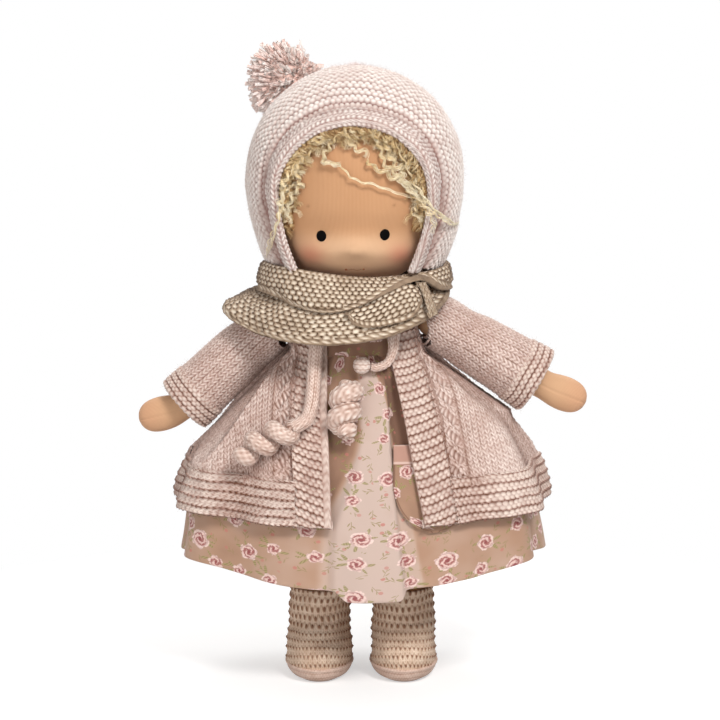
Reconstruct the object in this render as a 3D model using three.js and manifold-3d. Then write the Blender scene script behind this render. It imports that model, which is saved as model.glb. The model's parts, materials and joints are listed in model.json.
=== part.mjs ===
// A dressed rag doll of about 38 cm that stands on its boots and faces -Y.
// Millimetres, +Z up. The origin is on the floor, below the middle of the doll.
import * as THREE from 'three';
import { mergeVertices } from 'three/addons/utils/BufferGeometryUtils.js';
import Module from 'manifold-3d';

const wasm = await Module();
wasm.setup();

// Clearances between pieces
const seatGap = 0.3;
const layerGap = 0.8;
const swingGap = 1.2;
const patchGap = 0.9;
const cutOverrun = 20;
const mergeTolerance = 0.001;

// Doll body
const legLength = 120;
const torsoRise = 99;
const neckBaseRise = 19;
const torsoHalfWidth = 40;
const torsoHalfDepth = 28;
const seatRise = 3;
const bodyLean = -4;
const shoulderSpacing = 96;
const headWidth = 106;
const headHeight = 120;
const chinRise = 3;
const neckRadius = 20;
const neckThreadRadius = 0.9;
const armBallRadius = 11;
const wristRadius = 9.5;
const handHalfHeight = 10.5;
const handHalfDepth = 8;
const forearmLength = 74;
const handLength = 33;
const hipSpacing = 52;
const hipRadius = 16.5;
const calfRadius = 13.5;

// Face and hair
const eyeHalfSpacing = 19.2;
const eyeDrop = 27;
const eyeRadius = 2.8;
const eyeDepth = 1.6;
const mouthDrop = 47.5;
const mouthHalfWidth = 5.6;
const mouthThreadRadius = 0.8;
const noseRadius = 5;
const noseDrop = 36;
const noseSink = 3.2;
const hairThickness = 5.5;
const hairlineHalfWidth = 35;
const hairlineRise = 27;

// Boots
const bootHeight = 52;
const bootHalfWidth = 20.4;
const bootLegRadius = 18.6;
const bootToeReach = 41;
const bootHeelReach = 21;
const bootWall = 3;
const soleHeight = 9;

// Dress
const clothThickness = 1.4;
const waistDrop = 19;
const skirtHemHalfWidth = 113;
const skirtHemHalfDepth = 75;
const skirtSideDrop = 124;
const skirtFrontDrop = 140;
const foldDepth = 3.2;
const pocketWidth = 48;
const pocketHeight = 50;
const pocketBandHeight = 10;
const pocketEdge = 19;
const pocketDrop = 51;
const pocketThickness = 1.2;

// Cardigan
const knitThickness = 4.2;
const cardiganEase = 3.2;
const cardiganFrontDrop = 129.5;
const cardiganSideDrop = 123;
const cardiganNeckRise = 14;
const openingTopWidth = 36;
const openingHemWidth = 56;
const openingTopOffset = -5.5;
const openingHemOffset = 9.5;
const frontBandWidth = 20;
const hemBandHeight = 23;
const shoulderCapRadius = 16;
const sleeveWall = 3.2;
const leftSleeve = { length: 64, cuffRadius: 18.8, dropAngle: 43, handBend: 28 };
const rightSleeve = { length: 60, cuffRadius: 21, dropAngle: 31, handBend: 9 };
const cuffLength = 12;
const armForward = 35;
const armBack = 20;
const sweepSteps = 3;

// Bonnet and pompom
const bonnetRadius = 65.6;
const bonnetThickness = 6;
const bonnetCrownRise = 65.8;
const bonnetFootHeight = 90;
const bonnetFootRise = 11.1;
const openingHalfWidth = 42;
const openingCrown = 33;
const openingFoot = 36.5;
const openingSpringDrop = 1.2;
const edgeBandWidth = 7;
const pompomRadius = 23;
const pompomPlace = new THREE.Vector3(-44, 30, 59);

// Scarf, worn as two layers round the neck, with a tab drawn through a loop
const scarfRadius = 58;
const scarfRise = 36;
const scarfThickness = 4.5;
const scarfInnerRadius = 38;
const tabThickness = 3.6;
const strapThickness = 2.6;

// Ties of the cardigan's neck
const leftTieRadius = 3.9;
const rightTieRadius = 2.8;
const leftCurl = { side: 'left', tube: 3.6, radius: 4.2, turns: 3 };
const rightCurl = { side: 'right', tube: 4.2, radius: 5.2, turns: 2.25 };
const knotRadius = 5.2;

// Heights and places that follow from the sizes
const hipHeight = legLength;
const shoulderHeight = hipHeight + torsoRise;
const torsoTop = shoulderHeight + neckBaseRise;
const chinHeight = torsoTop + chinRise;
const headCentre = chinHeight + headHeight / 2;
const bonnetCentre = headCentre + headHeight / 2 + hairThickness + bonnetThickness + 2 * seatGap
  - bonnetCrownRise;
const bonnetBottom = chinHeight + bonnetFootRise;
const waistHeight = shoulderHeight - waistDrop;

// Counts
const bodySides = 20;
const bonnetSides = 24;
const legSides = 16;
const bootSides = 16;
const limbSides = 14;
const sleeveSides = 18;
const sweepSides = 12;
const fineRows = 10;
const coarseRows = 8;
const smallRows = 6;
const skirtSides = 60;
const scarfSides = 34;
const hemSides = 36;

const skin = new THREE.MeshStandardMaterial({ color: 0xd9ab8b, roughness: 0.85, metalness: 0 });
const thread = new THREE.MeshStandardMaterial({ color: 0xb98f78, roughness: 0.8, metalness: 0 });
const eyeThread = new THREE.MeshStandardMaterial({ color: 0x1d1512, roughness: 0.45, metalness: 0 });
const mouthThread = new THREE.MeshStandardMaterial({ color: 0x9c5245, roughness: 0.8, metalness: 0 });
const mohair = new THREE.MeshStandardMaterial({ color: 0xdcc58c, roughness: 0.8, metalness: 0 });
const bonnetWool = new THREE.MeshStandardMaterial({ color: 0xcfb3ac, roughness: 0.95, metalness: 0 });
const pompomWool = new THREE.MeshStandardMaterial({ color: 0xcda9a6, roughness: 0.95, metalness: 0 });
const scarfWool = new THREE.MeshStandardMaterial({ color: 0xb8a58c, roughness: 0.95, metalness: 0 });
const cardiganWool = new THREE.MeshStandardMaterial({ color: 0xc6a49b, roughness: 0.95, metalness: 0 });
const tieWool = new THREE.MeshStandardMaterial({ color: 0xd9bcb2, roughness: 0.95, metalness: 0 });
const calico = new THREE.MeshStandardMaterial({ color: 0xe3c9bd, roughness: 0.9, metalness: 0 });
const bootCotton = new THREE.MeshStandardMaterial({ color: 0xb39a83, roughness: 0.95, metalness: 0 });
const soleCotton = new THREE.MeshStandardMaterial({ color: 0xb98f7c, roughness: 0.95, metalness: 0 });

const group = new THREE.Group();
const pieces = new Map();

// A smooth curve through the rows of a table, read at one value of its first column
function through(rows, at, column = 1) {
  const last = rows.length - 1;
  if (at <= rows[0][0]) return rows[0][column];
  if (at >= rows[last][0]) return rows[last][column];
  let next = 1;
  while (rows[next][0] < at) next += 1;
  const before = rows[Math.max(next - 2, 0)];
  const low = rows[next - 1];
  const high = rows[next];
  const after = rows[Math.min(next + 1, last)];
  const span = high[0] - low[0];
  const t = (at - low[0]) / span;
  const slopeLow = (high[column] - before[column]) / (high[0] - before[0]) * span;
  const slopeHigh = (after[column] - low[column]) / (after[0] - low[0]) * span;
  const a = 2 * t ** 3 - 3 * t ** 2 + 1;
  const b = t ** 3 - 2 * t ** 2 + t;
  const c = -2 * t ** 3 + 3 * t ** 2;
  const d = t ** 3 - t ** 2;
  return a * low[column] + b * slopeLow + c * high[column] + d * slopeHigh;
}

const radians = THREE.MathUtils.degToRad;
const mix = THREE.MathUtils.lerp;

function bodyFrom(points, faces) {
  const geometry = new THREE.BufferGeometry();
  geometry.setAttribute('position', new THREE.Float32BufferAttribute(points.flat(), 3));
  geometry.setIndex(faces.flat());
  return geometry;
}

// A closed body from a stack of rings with as many points each, capped at both ends
function stackOf(rings) {
  const sides = rings[0].length;
  const points = rings.flat();
  const faces = [];
  for (let row = 0; row < rings.length - 1; row += 1) {
    for (let side = 0; side < sides; side += 1) {
      const a = row * sides + side;
      const b = row * sides + (side + 1) % sides;
      faces.push([a, b, b + sides], [a, b + sides, a + sides]);
    }
  }
  for (const row of [0, rings.length - 1]) {
    const middle = rings[row].reduce((sum, p) => [sum[0] + p[0], sum[1] + p[1], sum[2] + p[2]]);
    points.push(middle.map((value) => value / sides));
    for (let side = 0; side < sides; side += 1) {
      const a = row * sides + side;
      const b = row * sides + (side + 1) % sides;
      faces.push(row === 0 ? [b, a, points.length - 1] : [a, b, points.length - 1]);
    }
  }
  return bodyFrom(points, faces);
}

// A level oval ring, anticlockwise from above
function oval(x, y, z, halfWidth, halfDepth, sides) {
  const ring = [];
  for (let side = 0; side < sides; side += 1) {
    const angle = side / sides * 2 * Math.PI;
    ring.push([x + halfWidth * Math.sin(angle), y - halfDepth * Math.cos(angle), z]);
  }
  return ring;
}

// A closed slab between the outer and inner face of a surface, over part of its two directions
function slabOf(surface, across, downShares, fromAcross, toAcross, depth, fromDown = 0, toDown = 1) {
  const points = [];
  const faces = [];
  const down = downShares.length - 1;
  for (const side of [0, depth]) {
    for (const share of downShares) {
      const v = mix(fromDown, toDown, share);
      for (let column = 0; column <= across; column += 1) {
        const u = mix(fromAcross(v), toAcross(v), column / across);
        points.push(surface(u, v, side));
      }
    }
  }
  const wide = across + 1;
  const layer = wide * (down + 1);
  const quad = (a, b, c, d) => faces.push([a, b, c], [a, c, d]);
  for (let row = 0; row < down; row += 1) {
    for (let column = 0; column < across; column += 1) {
      const a = row * wide + column;
      quad(a, a + wide, a + wide + 1, a + 1);
      quad(layer + a, layer + a + 1, layer + a + wide + 1, layer + a + wide);
    }
    const left = row * wide;
    const right = left + across;
    quad(left, layer + left, layer + left + wide, left + wide);
    quad(right, right + wide, layer + right + wide, layer + right);
  }
  for (let column = 0; column < across; column += 1) {
    const low = down * wide + column;
    quad(column, column + 1, layer + column + 1, layer + column);
    quad(low, layer + low, layer + low + 1, low + 1);
  }
  return bodyFrom(points, faces);
}

// A closed ring-shaped body from a surface that goes all the way round
function ringOf(surface, sides, downShares, depth) {
  const points = [];
  const faces = [];
  for (let side = 0; side < sides; side += 1) {
    const u = -Math.PI + side / sides * 2 * Math.PI;
    for (const share of downShares) points.push(surface(u, share, 0));
    for (const share of downShares.toReversed()) points.push(surface(u, share, depth));
  }
  const loop = 2 * downShares.length;
  for (let side = 0; side < sides; side += 1) {
    for (let row = 0; row < loop; row += 1) {
      const a = side * loop + row;
      const b = side * loop + (row + 1) % loop;
      const c = (side + 1) % sides * loop + (row + 1) % loop;
      const d = (side + 1) % sides * loop + row;
      faces.push([a, b, c], [a, c, d]);
    }
  }
  return bodyFrom(points, faces);
}

function solid(geometry) {
  const bare = geometry.clone();
  bare.deleteAttribute('normal');
  bare.deleteAttribute('uv');
  const merged = mergeVertices(bare, mergeTolerance);
  return new wasm.Manifold(new wasm.Mesh({
    numProp: 3,
    vertProperties: new Float32Array(merged.attributes.position.array),
    triVerts: new Uint32Array(merged.index.array),
  }));
}

function add(name, form, material) {
  const mesh = form.getMesh();
  const geometry = new THREE.BufferGeometry();
  geometry.setAttribute('position', new THREE.BufferAttribute(mesh.vertProperties, 3));
  geometry.setIndex(new THREE.BufferAttribute(mesh.triVerts, 1));
  geometry.computeVertexNormals();
  const piece = new THREE.Mesh(geometry, material);
  piece.name = name;
  group.add(piece);
  pieces.set(name, form);
}

function box(fromX, toX, fromY, toY, fromZ, toZ) {
  const geometry = new THREE.BoxGeometry(toX - fromX, toY - fromY, toZ - fromZ);
  geometry.translate((fromX + toX) / 2, (fromY + toY) / 2, (fromZ + toZ) / 2);
  return solid(geometry);
}

function ball(x, y, z, radius, rows, scaleY = 1) {
  const geometry = new THREE.SphereGeometry(radius, 2 * rows, rows);
  geometry.scale(1, scaleY, 1);
  geometry.translate(x, y, z);
  return solid(geometry);
}

// Torso: rows of height share from seat to neck, width share and depth share
const torsoShares = [
  [0, 0.5, 0.5],
  [0.04, 0.8, 0.84],
  [0.14, 0.98, 1],
  [0.35, 1, 1],
  [0.62, 0.96, 0.96],
  [0.78, 0.98, 0.94],
  [0.84, 0.945, 0.9],
  [0.9, 0.86, 0.82],
  [0.96, 0.68, 0.72],
  [1, 0.5, 0.62],
];
const torsoBottom = hipHeight + seatRise;
const torsoHeight = torsoTop - torsoBottom;
const leanAt = (z) => bodyLean * THREE.MathUtils.smoothstep(z, hipHeight, shoulderHeight);
const torsoShareAt = (z, column) => through(torsoShares, (z - torsoBottom) / torsoHeight, column);
const torsoWidthAt = (z) => torsoHalfWidth * torsoShareAt(z, 1);
const torsoDepthAt = (z) => torsoHalfDepth * torsoShareAt(z, 2);

function torsoRings(grow) {
  return torsoShares.map(([share]) => {
    const z = torsoBottom + share * torsoHeight;
    return oval(leanAt(z), 0, z, torsoWidthAt(z) + grow, torsoDepthAt(z) + grow, bodySides);
  });
}

const shoulders = [
  { side: 'left', sign: -1, x: bodyLean - shoulderSpacing / 2, sleeve: leftSleeve },
  { side: 'right', sign: 1, x: bodyLean + shoulderSpacing / 2, sleeve: rightSleeve },
];
const hips = [
  { side: 'left', sign: -1, x: -hipSpacing / 2 },
  { side: 'right', sign: 1, x: hipSpacing / 2 },
];

// Arms: a soft tube from the shoulder ball to the wrist, then a mitten hand that bends up
const armShares = [
  [-1, 0.12],
  [-0.93, 0.42],
  [-0.7, 0.74],
  [-0.35, 0.94],
  [0, 1],
];
const forearmShares = [0.25, 0.6, 1];
const wristFlatShare = 0.08;
const handShares = [
  [0.16, 0.45],
  [0.45, 0.98],
  [0.72, 0.98],
  [0.9, 0.7],
  [0.98, 0.3],
];

function limbRing(x, z, angle, halfHeight, halfDepth) {
  const ring = [];
  for (let side = 0; side < limbSides; side += 1) {
    const turn = side / limbSides * 2 * Math.PI;
    const off = halfHeight * Math.cos(turn);
    ring.push([x - off * Math.sin(angle), -halfDepth * Math.sin(turn), z + off * Math.cos(angle)]);
  }
  return ring;
}

function armOf(shoulder) {
  const { dropAngle, handBend } = shoulder.sleeve;
  const rings = [];
  const down = radians(-dropAngle);
  const place = (along) => [along * Math.cos(down), shoulderHeight + along * Math.sin(down)];
  for (const [along, share] of armShares) {
    const [x, z] = place(along * armBallRadius);
    rings.push(limbRing(x, z, down, armBallRadius * share, armBallRadius * share));
  }
  for (const share of forearmShares) {
    const [x, z] = place(share * forearmLength);
    const radius = mix(armBallRadius, wristRadius, share);
    rings.push(limbRing(x, z, down, radius, radius * (1 - wristFlatShare * share)));
  }
  const [wristX, wristZ] = place(forearmLength);
  const up = radians(handBend - dropAngle);
  for (const [share, fullness] of handShares) {
    const turned = mix(down, up, Math.min(share * 2, 1));
    const x = wristX + share * handLength * Math.cos(turned);
    const z = wristZ + share * handLength * Math.sin(turned);
    const blend = Math.min(share * 3, 1);
    const tall = mix(wristRadius, handHalfHeight * fullness, blend);
    const deep = mix(wristRadius, handHalfDepth * fullness, blend);
    rings.push(limbRing(x, z, turned, tall, deep));
  }
  const form = rings.map((ring) => ring.map(([x, y, z]) => [shoulder.x + shoulder.sign * x, y, z]));
  if (shoulder.sign < 0) form.forEach((ring) => ring.reverse());
  return solid(stackOf(form));
}

for (const shoulder of shoulders) shoulder.arm = armOf(shoulder);

// Soles: rows of height share, width share and length share
const soleShares = [
  [0, 0.58, 0.68],
  [0.25, 0.8, 0.86],
  [0.6, 0.94, 0.95],
  [1, 1, 1],
];
const bootMiddle = (bootHeelReach - bootToeReach) / 2;
const bootHalfLength = (bootHeelReach + bootToeReach) / 2;
// Rows of height share above the sole, width share from leg to foot, length share and slide share
const bootUpperShares = [
  [0, 1, 1, 1],
  [0.12, 1, 0.99, 1],
  [0.28, 0.93, 0.84, 0.82],
  [0.42, 0.6, 0.5, 0.5],
  [0.58, 0.25, 0.2, 0.2],
  [0.78, 0.05, 0.04, 0.04],
  [1, 0, 0, 0],
];

function bootRing(x, z, shrink, sides = bootSides) {
  let halfWidth = bootHalfWidth;
  let halfLength = bootHalfLength;
  let slide = bootMiddle;
  if (z < soleHeight) {
    halfWidth *= through(soleShares, z / soleHeight, 1);
    halfLength *= through(soleShares, z / soleHeight, 2);
  } else {
    const share = (z - soleHeight) / (bootHeight - soleHeight);
    halfWidth = mix(bootLegRadius, bootHalfWidth, through(bootUpperShares, share, 1));
    halfLength = mix(bootLegRadius, bootHalfLength, through(bootUpperShares, share, 2));
    slide = mix(0, bootMiddle, through(bootUpperShares, share, 3));
  }
  return oval(x, slide, z, halfWidth - shrink, halfLength - shrink, sides);
}

const soleLevels = soleShares.map(([share]) => share * soleHeight);
const upperLevels = bootUpperShares.map(([share]) => soleHeight + share * (bootHeight - soleHeight));

// Legs: from a foot inside the boot up to the ball of the hip
const thighShares = [[0.16, 0], [0.5, 0.4], [0.82, 0.7]];
const hipTurns = [-18, 0, 25, 50, 70, 84];
const toeLevels = 6;

function legOf(hip) {
  const shrink = bootWall + seatGap;
  const rings = [];
  rings.push(bootRing(hip.x, bootWall + seatGap, 2 * shrink, legSides));
  for (const z of upperLevels.slice(0, toeLevels)) rings.push(bootRing(hip.x, z, shrink, legSides));
  for (const [share, fullness] of thighShares) {
    const z = mix(bootHeight, hipHeight, share);
    const radius = mix(calfRadius, hipRadius, fullness);
    rings.push(oval(hip.x, 0, z, radius, radius, legSides));
  }
  for (const turn of hipTurns) {
    const radius = hipRadius * Math.cos(radians(turn));
    rings.push(oval(hip.x, 0, hipHeight + hipRadius * Math.sin(radians(turn)), radius, radius, legSides));
  }
  return solid(stackOf(rings));
}

let torso = solid(stackOf(torsoRings(0)));
for (const hip of hips) torso = torso.subtract(ball(hip.x, 0, hipHeight, hipRadius + 2 * seatGap, fineRows));
for (const shoulder of shoulders) {
  torso = torso.subtract(ball(shoulder.x, 0, shoulderHeight, armBallRadius + 2 * seatGap, coarseRows));
}
add('torso', torso, skin);

// Head: a ball of revolution about the neck, with a neck that a thread draws in
const headFullness = 2.4;
const headRadiusAt = (z, grow) => {
  const reach = headHeight / 2 + grow;
  const share = Math.min(Math.abs(z - headCentre) / reach, 1);
  return (headWidth / 2 + grow) * (1 - share ** headFullness) ** (1 / headFullness);
};
const headLevelShares = [-0.998, -0.97, -0.92, -0.84, -0.72, -0.55, -0.35, -0.12, 0.12, 0.35, 0.55, 0.72];
const crownLevelShares = [0.85, 0.93, 0.98, 0.998];

function headForm(grow) {
  const rings = [...headLevelShares, ...crownLevelShares].map((share) => {
    const z = headCentre + share * (headHeight / 2 + grow);
    const radius = headRadiusAt(z, grow);
    return oval(bodyLean, 0, z, radius, radius, bodySides);
  });
  return solid(stackOf(rings));
}

const neckTop = chinHeight + neckRadius / 2;
const threadHeight = torsoTop + seatGap + 2 * neckThreadRadius;
const neck = solid(stackOf([
  oval(bodyLean, 0, torsoTop + seatGap, neckRadius, neckRadius, bodySides),
  oval(bodyLean, 0, neckTop, neckRadius, neckRadius, bodySides),
]));
const threadProfile = new THREE.TorusGeometry(neckRadius, neckThreadRadius, 6, bodySides);
threadProfile.translate(bodyLean, 0, threadHeight);
const threadCut = new THREE.TorusGeometry(neckRadius, neckThreadRadius + seatGap, 6, bodySides);
threadCut.translate(bodyLean, 0, threadHeight);
const neckThread = solid(threadProfile);

const faceAt = (z, x) => -Math.sqrt(headRadiusAt(z, 0) ** 2 - x ** 2);
const noseHeight = headCentre - noseDrop;
const nose = ball(bodyLean, faceAt(noseHeight, 0) + noseSink, noseHeight, noseRadius, smallRows);
const eyeHeight = headCentre - eyeDrop;
const mouthHeight = headCentre - mouthDrop;
let head = headForm(0).add(neck).add(nose).subtract(solid(threadCut));
const eyes = [-1, 1].map((sign) => {
  const y = faceAt(eyeHeight, eyeHalfSpacing);
  return ball(bodyLean + sign * eyeHalfSpacing, y, eyeHeight, eyeRadius, smallRows, eyeDepth / eyeRadius);
});
const eyeSeats = [-1, 1].map((sign) => {
  const y = faceAt(eyeHeight, eyeHalfSpacing);
  const radius = eyeRadius + seatGap;
  return ball(bodyLean + sign * eyeHalfSpacing, y, eyeHeight, radius, smallRows, (eyeDepth + seatGap) / radius);
});
const mouthY = faceAt(mouthHeight, 0) - mouthThreadRadius - seatGap;
const mouthCurve = new THREE.CatmullRomCurve3([-1, -0.5, 0, 0.5, 1].map((share) => {
  const x = share * mouthHalfWidth;
  const dip = (1 - share ** 2) * mouthThreadRadius;
  return new THREE.Vector3(bodyLean + x, mouthY + faceAt(mouthHeight, x) - faceAt(mouthHeight, 0), mouthHeight - dip);
}));
const mouthSection = new THREE.Shape();
mouthSection.absarc(0, 0, mouthThreadRadius, 0, 2 * Math.PI, false);
const mouth = solid(new THREE.ExtrudeGeometry(mouthSection, {
  steps: 8, curveSegments: 4, bevelEnabled: false, extrudePath: mouthCurve,
}));
for (const seat of eyeSeats) head = head.subtract(seat);
add('head', head, skin);
add('neck_thread', neckThread, thread);
add('eye_left', eyes[0], eyeThread);
add('eye_right', eyes[1], eyeThread);
add('mouth_stitch', mouth, mouthThread);

// The face openings of wig and bonnet: an arch with straight, slightly closing sides
function archPrism(halfWidth, crownRise, footHalfWidth, bottom, grow = 0) {
  const shape = new THREE.Shape();
  const wide = halfWidth + grow;
  const foot = footHalfWidth + grow;
  const spring = headCentre - openingSpringDrop;
  shape.moveTo(-foot, bottom);
  shape.lineTo(foot, bottom);
  shape.lineTo(wide, spring);
  shape.absellipse(0, spring, wide, crownRise + grow, 0, Math.PI, false);
  shape.lineTo(-foot, bottom);
  const depth = bonnetRadius + cutOverrun;
  const geometry = new THREE.ExtrudeGeometry(shape, { depth, bevelEnabled: false, curveSegments: 14 });
  geometry.rotateX(Math.PI / 2);
  geometry.translate(bodyLean, 0, 0);
  return solid(geometry);
}

// Bonnet: a knitted cap of revolution, so that the head can turn inside the scarf
const bonnetLevelShares = [1, 0.8, 0.6, 0.4, 0.2];
const bonnetCrownShares = [0, 0.25, 0.48, 0.68, 0.83, 0.93, 0.985];
const bonnetRadiusAt = (z, shrink) => {
  const above = z > bonnetCentre;
  const reach = above ? bonnetCrownRise - shrink : bonnetFootHeight;
  const share = Math.min(Math.abs(z - bonnetCentre) / reach, 1);
  return (bonnetRadius - shrink) * Math.sqrt(1 - share ** 2);
};

function bonnetForm(shrink, below) {
  const rings = [];
  if (below > 0) {
    const radius = bonnetRadiusAt(bonnetBottom, shrink);
    rings.push(oval(bodyLean, 0, bonnetBottom - below, radius, radius, bonnetSides));
  }
  for (const share of bonnetLevelShares) {
    const z = mix(bonnetCentre, bonnetBottom, share);
    const radius = bonnetRadiusAt(z, shrink);
    rings.push(oval(bodyLean, 0, z, radius, radius, bonnetSides));
  }
  for (const share of bonnetCrownShares) {
    const z = bonnetCentre + share * (bonnetCrownRise - shrink);
    const radius = bonnetRadiusAt(z, shrink);
    rings.push(oval(bodyLean, 0, z, radius, radius, bonnetSides));
  }
  return solid(stackOf(rings));
}

const archBottom = bonnetBottom - cutOverrun;
const openingArch = archPrism(openingHalfWidth, openingCrown, openingFoot, archBottom);
const bandArch = archPrism(openingHalfWidth, openingCrown, openingFoot, archBottom, edgeBandWidth);
const bandSeamArch = archPrism(openingHalfWidth, openingCrown, openingFoot, archBottom,
  edgeBandWidth + seatGap);
const bonnetShell = bonnetForm(0, 0).subtract(bonnetForm(bonnetThickness, cutOverrun));
add('bonnet', bonnetShell.subtract(bandSeamArch), bonnetWool);
add('bonnet_edge_band', bonnetShell.intersect(bandArch).subtract(openingArch), bonnetWool);

const pompomBall = ball(bodyLean + pompomPlace.x, pompomPlace.y, bonnetCentre + pompomPlace.z, pompomRadius, coarseRows);
add('pompom', pompomBall.subtract(bonnetForm(-seatGap, 0)), pompomWool);

// Wig: a layer of hair on the head, open over the face
const wigBottom = bonnetBottom + cutOverrun;
const wigBelow = box(-bonnetRadius * 2, bonnetRadius * 2, -bonnetRadius * 2, bonnetRadius * 2,
  chinHeight - headHeight, wigBottom);
const wigArch = archPrism(hairlineHalfWidth, hairlineRise, hairlineHalfWidth, archBottom);
const wigShell = bonnetForm(bonnetThickness + seatGap, 0).subtract(headForm(seatGap));
add('wig', wigShell.subtract(wigBelow).subtract(wigArch), mohair);

// Sleeves: a round cap on the shoulder and a cone to the cuff, hollow round the arm
const capTurns = [180, 157, 135, 112, 90];
const sleeveShares = [0.33, 0.67, 1];

function sleeveForm(shoulder, grow, length, capRadius, cuffRadius, sides = sleeveSides) {
  const { dropAngle } = shoulder.sleeve;
  const profile = [];
  const cap = capRadius + grow;
  for (const turn of capTurns) {
    profile.push(new THREE.Vector2(cap * Math.sin(radians(turn)), cap * Math.cos(radians(turn))));
  }
  profile[0].x = 0;
  for (const share of sleeveShares) {
    profile.push(new THREE.Vector2(mix(capRadius, cuffRadius, share) + grow, share * length));
  }
  profile.push(new THREE.Vector2(0, length));
  const geometry = new THREE.LatheGeometry(profile, sides);
  geometry.rotateX(Math.PI / 2);
  geometry.rotateY(radians(90 + dropAngle) * shoulder.sign);
  geometry.translate(shoulder.x, 0, shoulderHeight);
  return solid(geometry);
}

function sleeveCut(shoulder, grow) {
  const { length, cuffRadius } = shoulder.sleeve;
  return sleeveForm(shoulder, grow, length + cuffLength, shoulderCapRadius, cuffRadius, sweepSides);
}

function turnedAbout(form, shoulder, degrees) {
  const home = new THREE.Matrix4().makeTranslation(shoulder.x, 0, shoulderHeight);
  const turn = new THREE.Matrix4().makeRotationZ(radians(degrees));
  const away = new THREE.Matrix4().makeTranslation(-shoulder.x, 0, -shoulderHeight);
  return form.transform(home.multiply(turn).multiply(away).toArray());
}

// The space that a sleeve sweeps as its arm swings, forward and back
function sweepOf(form, shoulder) {
  let sweep = form;
  for (let step = 0; step <= sweepSteps; step += 1) {
    const degrees = mix(-armBack, armForward, step / sweepSteps);
    sweep = sweep.add(turnedAbout(form, shoulder, -shoulder.sign * degrees));
  }
  return sweep;
}

for (const shoulder of shoulders) {
  const { length, cuffRadius } = shoulder.sleeve;
  const start = mix(shoulderCapRadius, cuffRadius, length / (length + cuffLength));
  const past = (length + cutOverrun) / (length + cuffLength);
  const outer = sleeveForm(shoulder, 0, length, shoulderCapRadius, start);
  const inner = sleeveForm(shoulder, -sleeveWall, length + cutOverrun, shoulderCapRadius,
    mix(shoulderCapRadius, cuffRadius, past));
  const bodySide = shoulder.x - shoulder.sign * shoulderCapRadius / 4;
  const beyond = shoulder.x - shoulder.sign * 3 * shoulderCapRadius;
  const bodyBox = box(Math.min(bodySide, beyond), Math.max(bodySide, beyond), -torsoHalfWidth, torsoHalfWidth,
    shoulderHeight - 3 * shoulderCapRadius, shoulderHeight + 3 * shoulderCapRadius);
  const cuffStart = sleeveForm(shoulder, cutOverrun, length + seatGap, shoulderCapRadius, start);
  const cuffOuter = sleeveForm(shoulder, seatGap, length + cuffLength, shoulderCapRadius, cuffRadius);
  add(`arm_${shoulder.side}`, shoulder.arm, skin);
  add(`sleeve_${shoulder.side}`, outer.subtract(inner).subtract(bodyBox), cardiganWool);
  add(`cuff_${shoulder.side}`, cuffOuter.subtract(inner).subtract(cuffStart), cardiganWool);
  shoulder.sweep = sweepOf(sleeveCut(shoulder, swingGap), shoulder);
}

// Legs and boots
for (const hip of hips) {
  add(`leg_${hip.side}`, legOf(hip), skin);
  const soleRings = soleLevels.map((z) => bootRing(hip.x, z, 0));
  const upperRings = upperLevels.map((z) => bootRing(hip.x, z, 0));
  const hollowRings = upperLevels.map((z) => bootRing(hip.x, z, bootWall));
  hollowRings.unshift(bootRing(hip.x, bootWall, 2 * bootWall + seatGap));
  const last = hollowRings.length - 1;
  hollowRings.push(hollowRings[last].map(([x, y, z]) => [x, y, z + cutOverrun]));
  const hollow = solid(stackOf(hollowRings));
  const soleTop = box(-bootHalfWidth * 4, bootHalfWidth * 4, -bootToeReach * 2, bootToeReach * 2,
    soleHeight - seatGap, soleHeight + seatGap);
  add(`boot_sole_${hip.side}`, solid(stackOf(soleRings)).subtract(hollow).subtract(soleTop), soleCotton);
  add(`boot_${hip.side}`, solid(stackOf(upperRings)).subtract(hollow), bootCotton);
}

// Dress: a sleeveless bodice and a flared skirt with its main folds, each an angle, a height share
const foldShares = [
  [-180, 0.2], [-152, 0.9], [-130, -0.3], [-106, 0.8], [-84, -0.2], [-64, 0.9], [-46, -0.3], [-31, 0.7],
  [-19, -0.2], [-8, 0.35], [-2, 0.3], [2, 1], [10, 1], [14, -0.2], [21, 0.1], [34, 0.8], [47, -0.3],
  [66, 0.8], [86, -0.2], [108, 0.8], [130, -0.3], [152, 0.9], [180, 0.2],
];
const skirtWidthShares = [[0, 0], [0.11, 0.12], [0.23, 0.32], [0.34, 0.535], [0.53, 0.77], [0.73, 0.9], [1, 1]];
const skirtDepthShares = [[0, 0], [0.11, 0.15], [0.23, 0.3], [0.34, 0.44], [0.53, 0.64], [0.73, 0.8], [1, 1]];
const skirtRowShares = [0, 0.1, 0.2, 0.34, 0.6, 1];
const underDress = seatGap + clothThickness;
const foldAt = (u) => through(foldShares, THREE.MathUtils.radToDeg(u));
const skirtDropAt = (u) => mix(skirtFrontDrop, skirtSideDrop, Math.sin(u) ** 2);

// The half width and half depth of the dress at a height, on one side of the doll
function dressAt(z, u) {
  if (z >= waistHeight) return [torsoWidthAt(z) + underDress, torsoDepthAt(z) + underDress, 0];
  const share = Math.min((waistHeight - z) / skirtDropAt(u), 1);
  const waistWidth = torsoWidthAt(waistHeight) + underDress;
  const waistDepth = torsoDepthAt(waistHeight) + underDress;
  const fold = foldDepth * share * foldAt(u);
  return [
    mix(waistWidth, skirtHemHalfWidth, through(skirtWidthShares, share)) + fold,
    mix(waistDepth, skirtHemHalfDepth, through(skirtDepthShares, share)) + fold,
    share,
  ];
}

function skirtFace(u, v, depth) {
  const z = waistHeight - seatGap - v * (skirtDropAt(u) - seatGap);
  const [halfWidth, halfDepth] = dressAt(z, u);
  return [leanAt(z) + (halfWidth - depth) * Math.sin(u), -(halfDepth - depth) * Math.cos(u), z];
}

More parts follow.
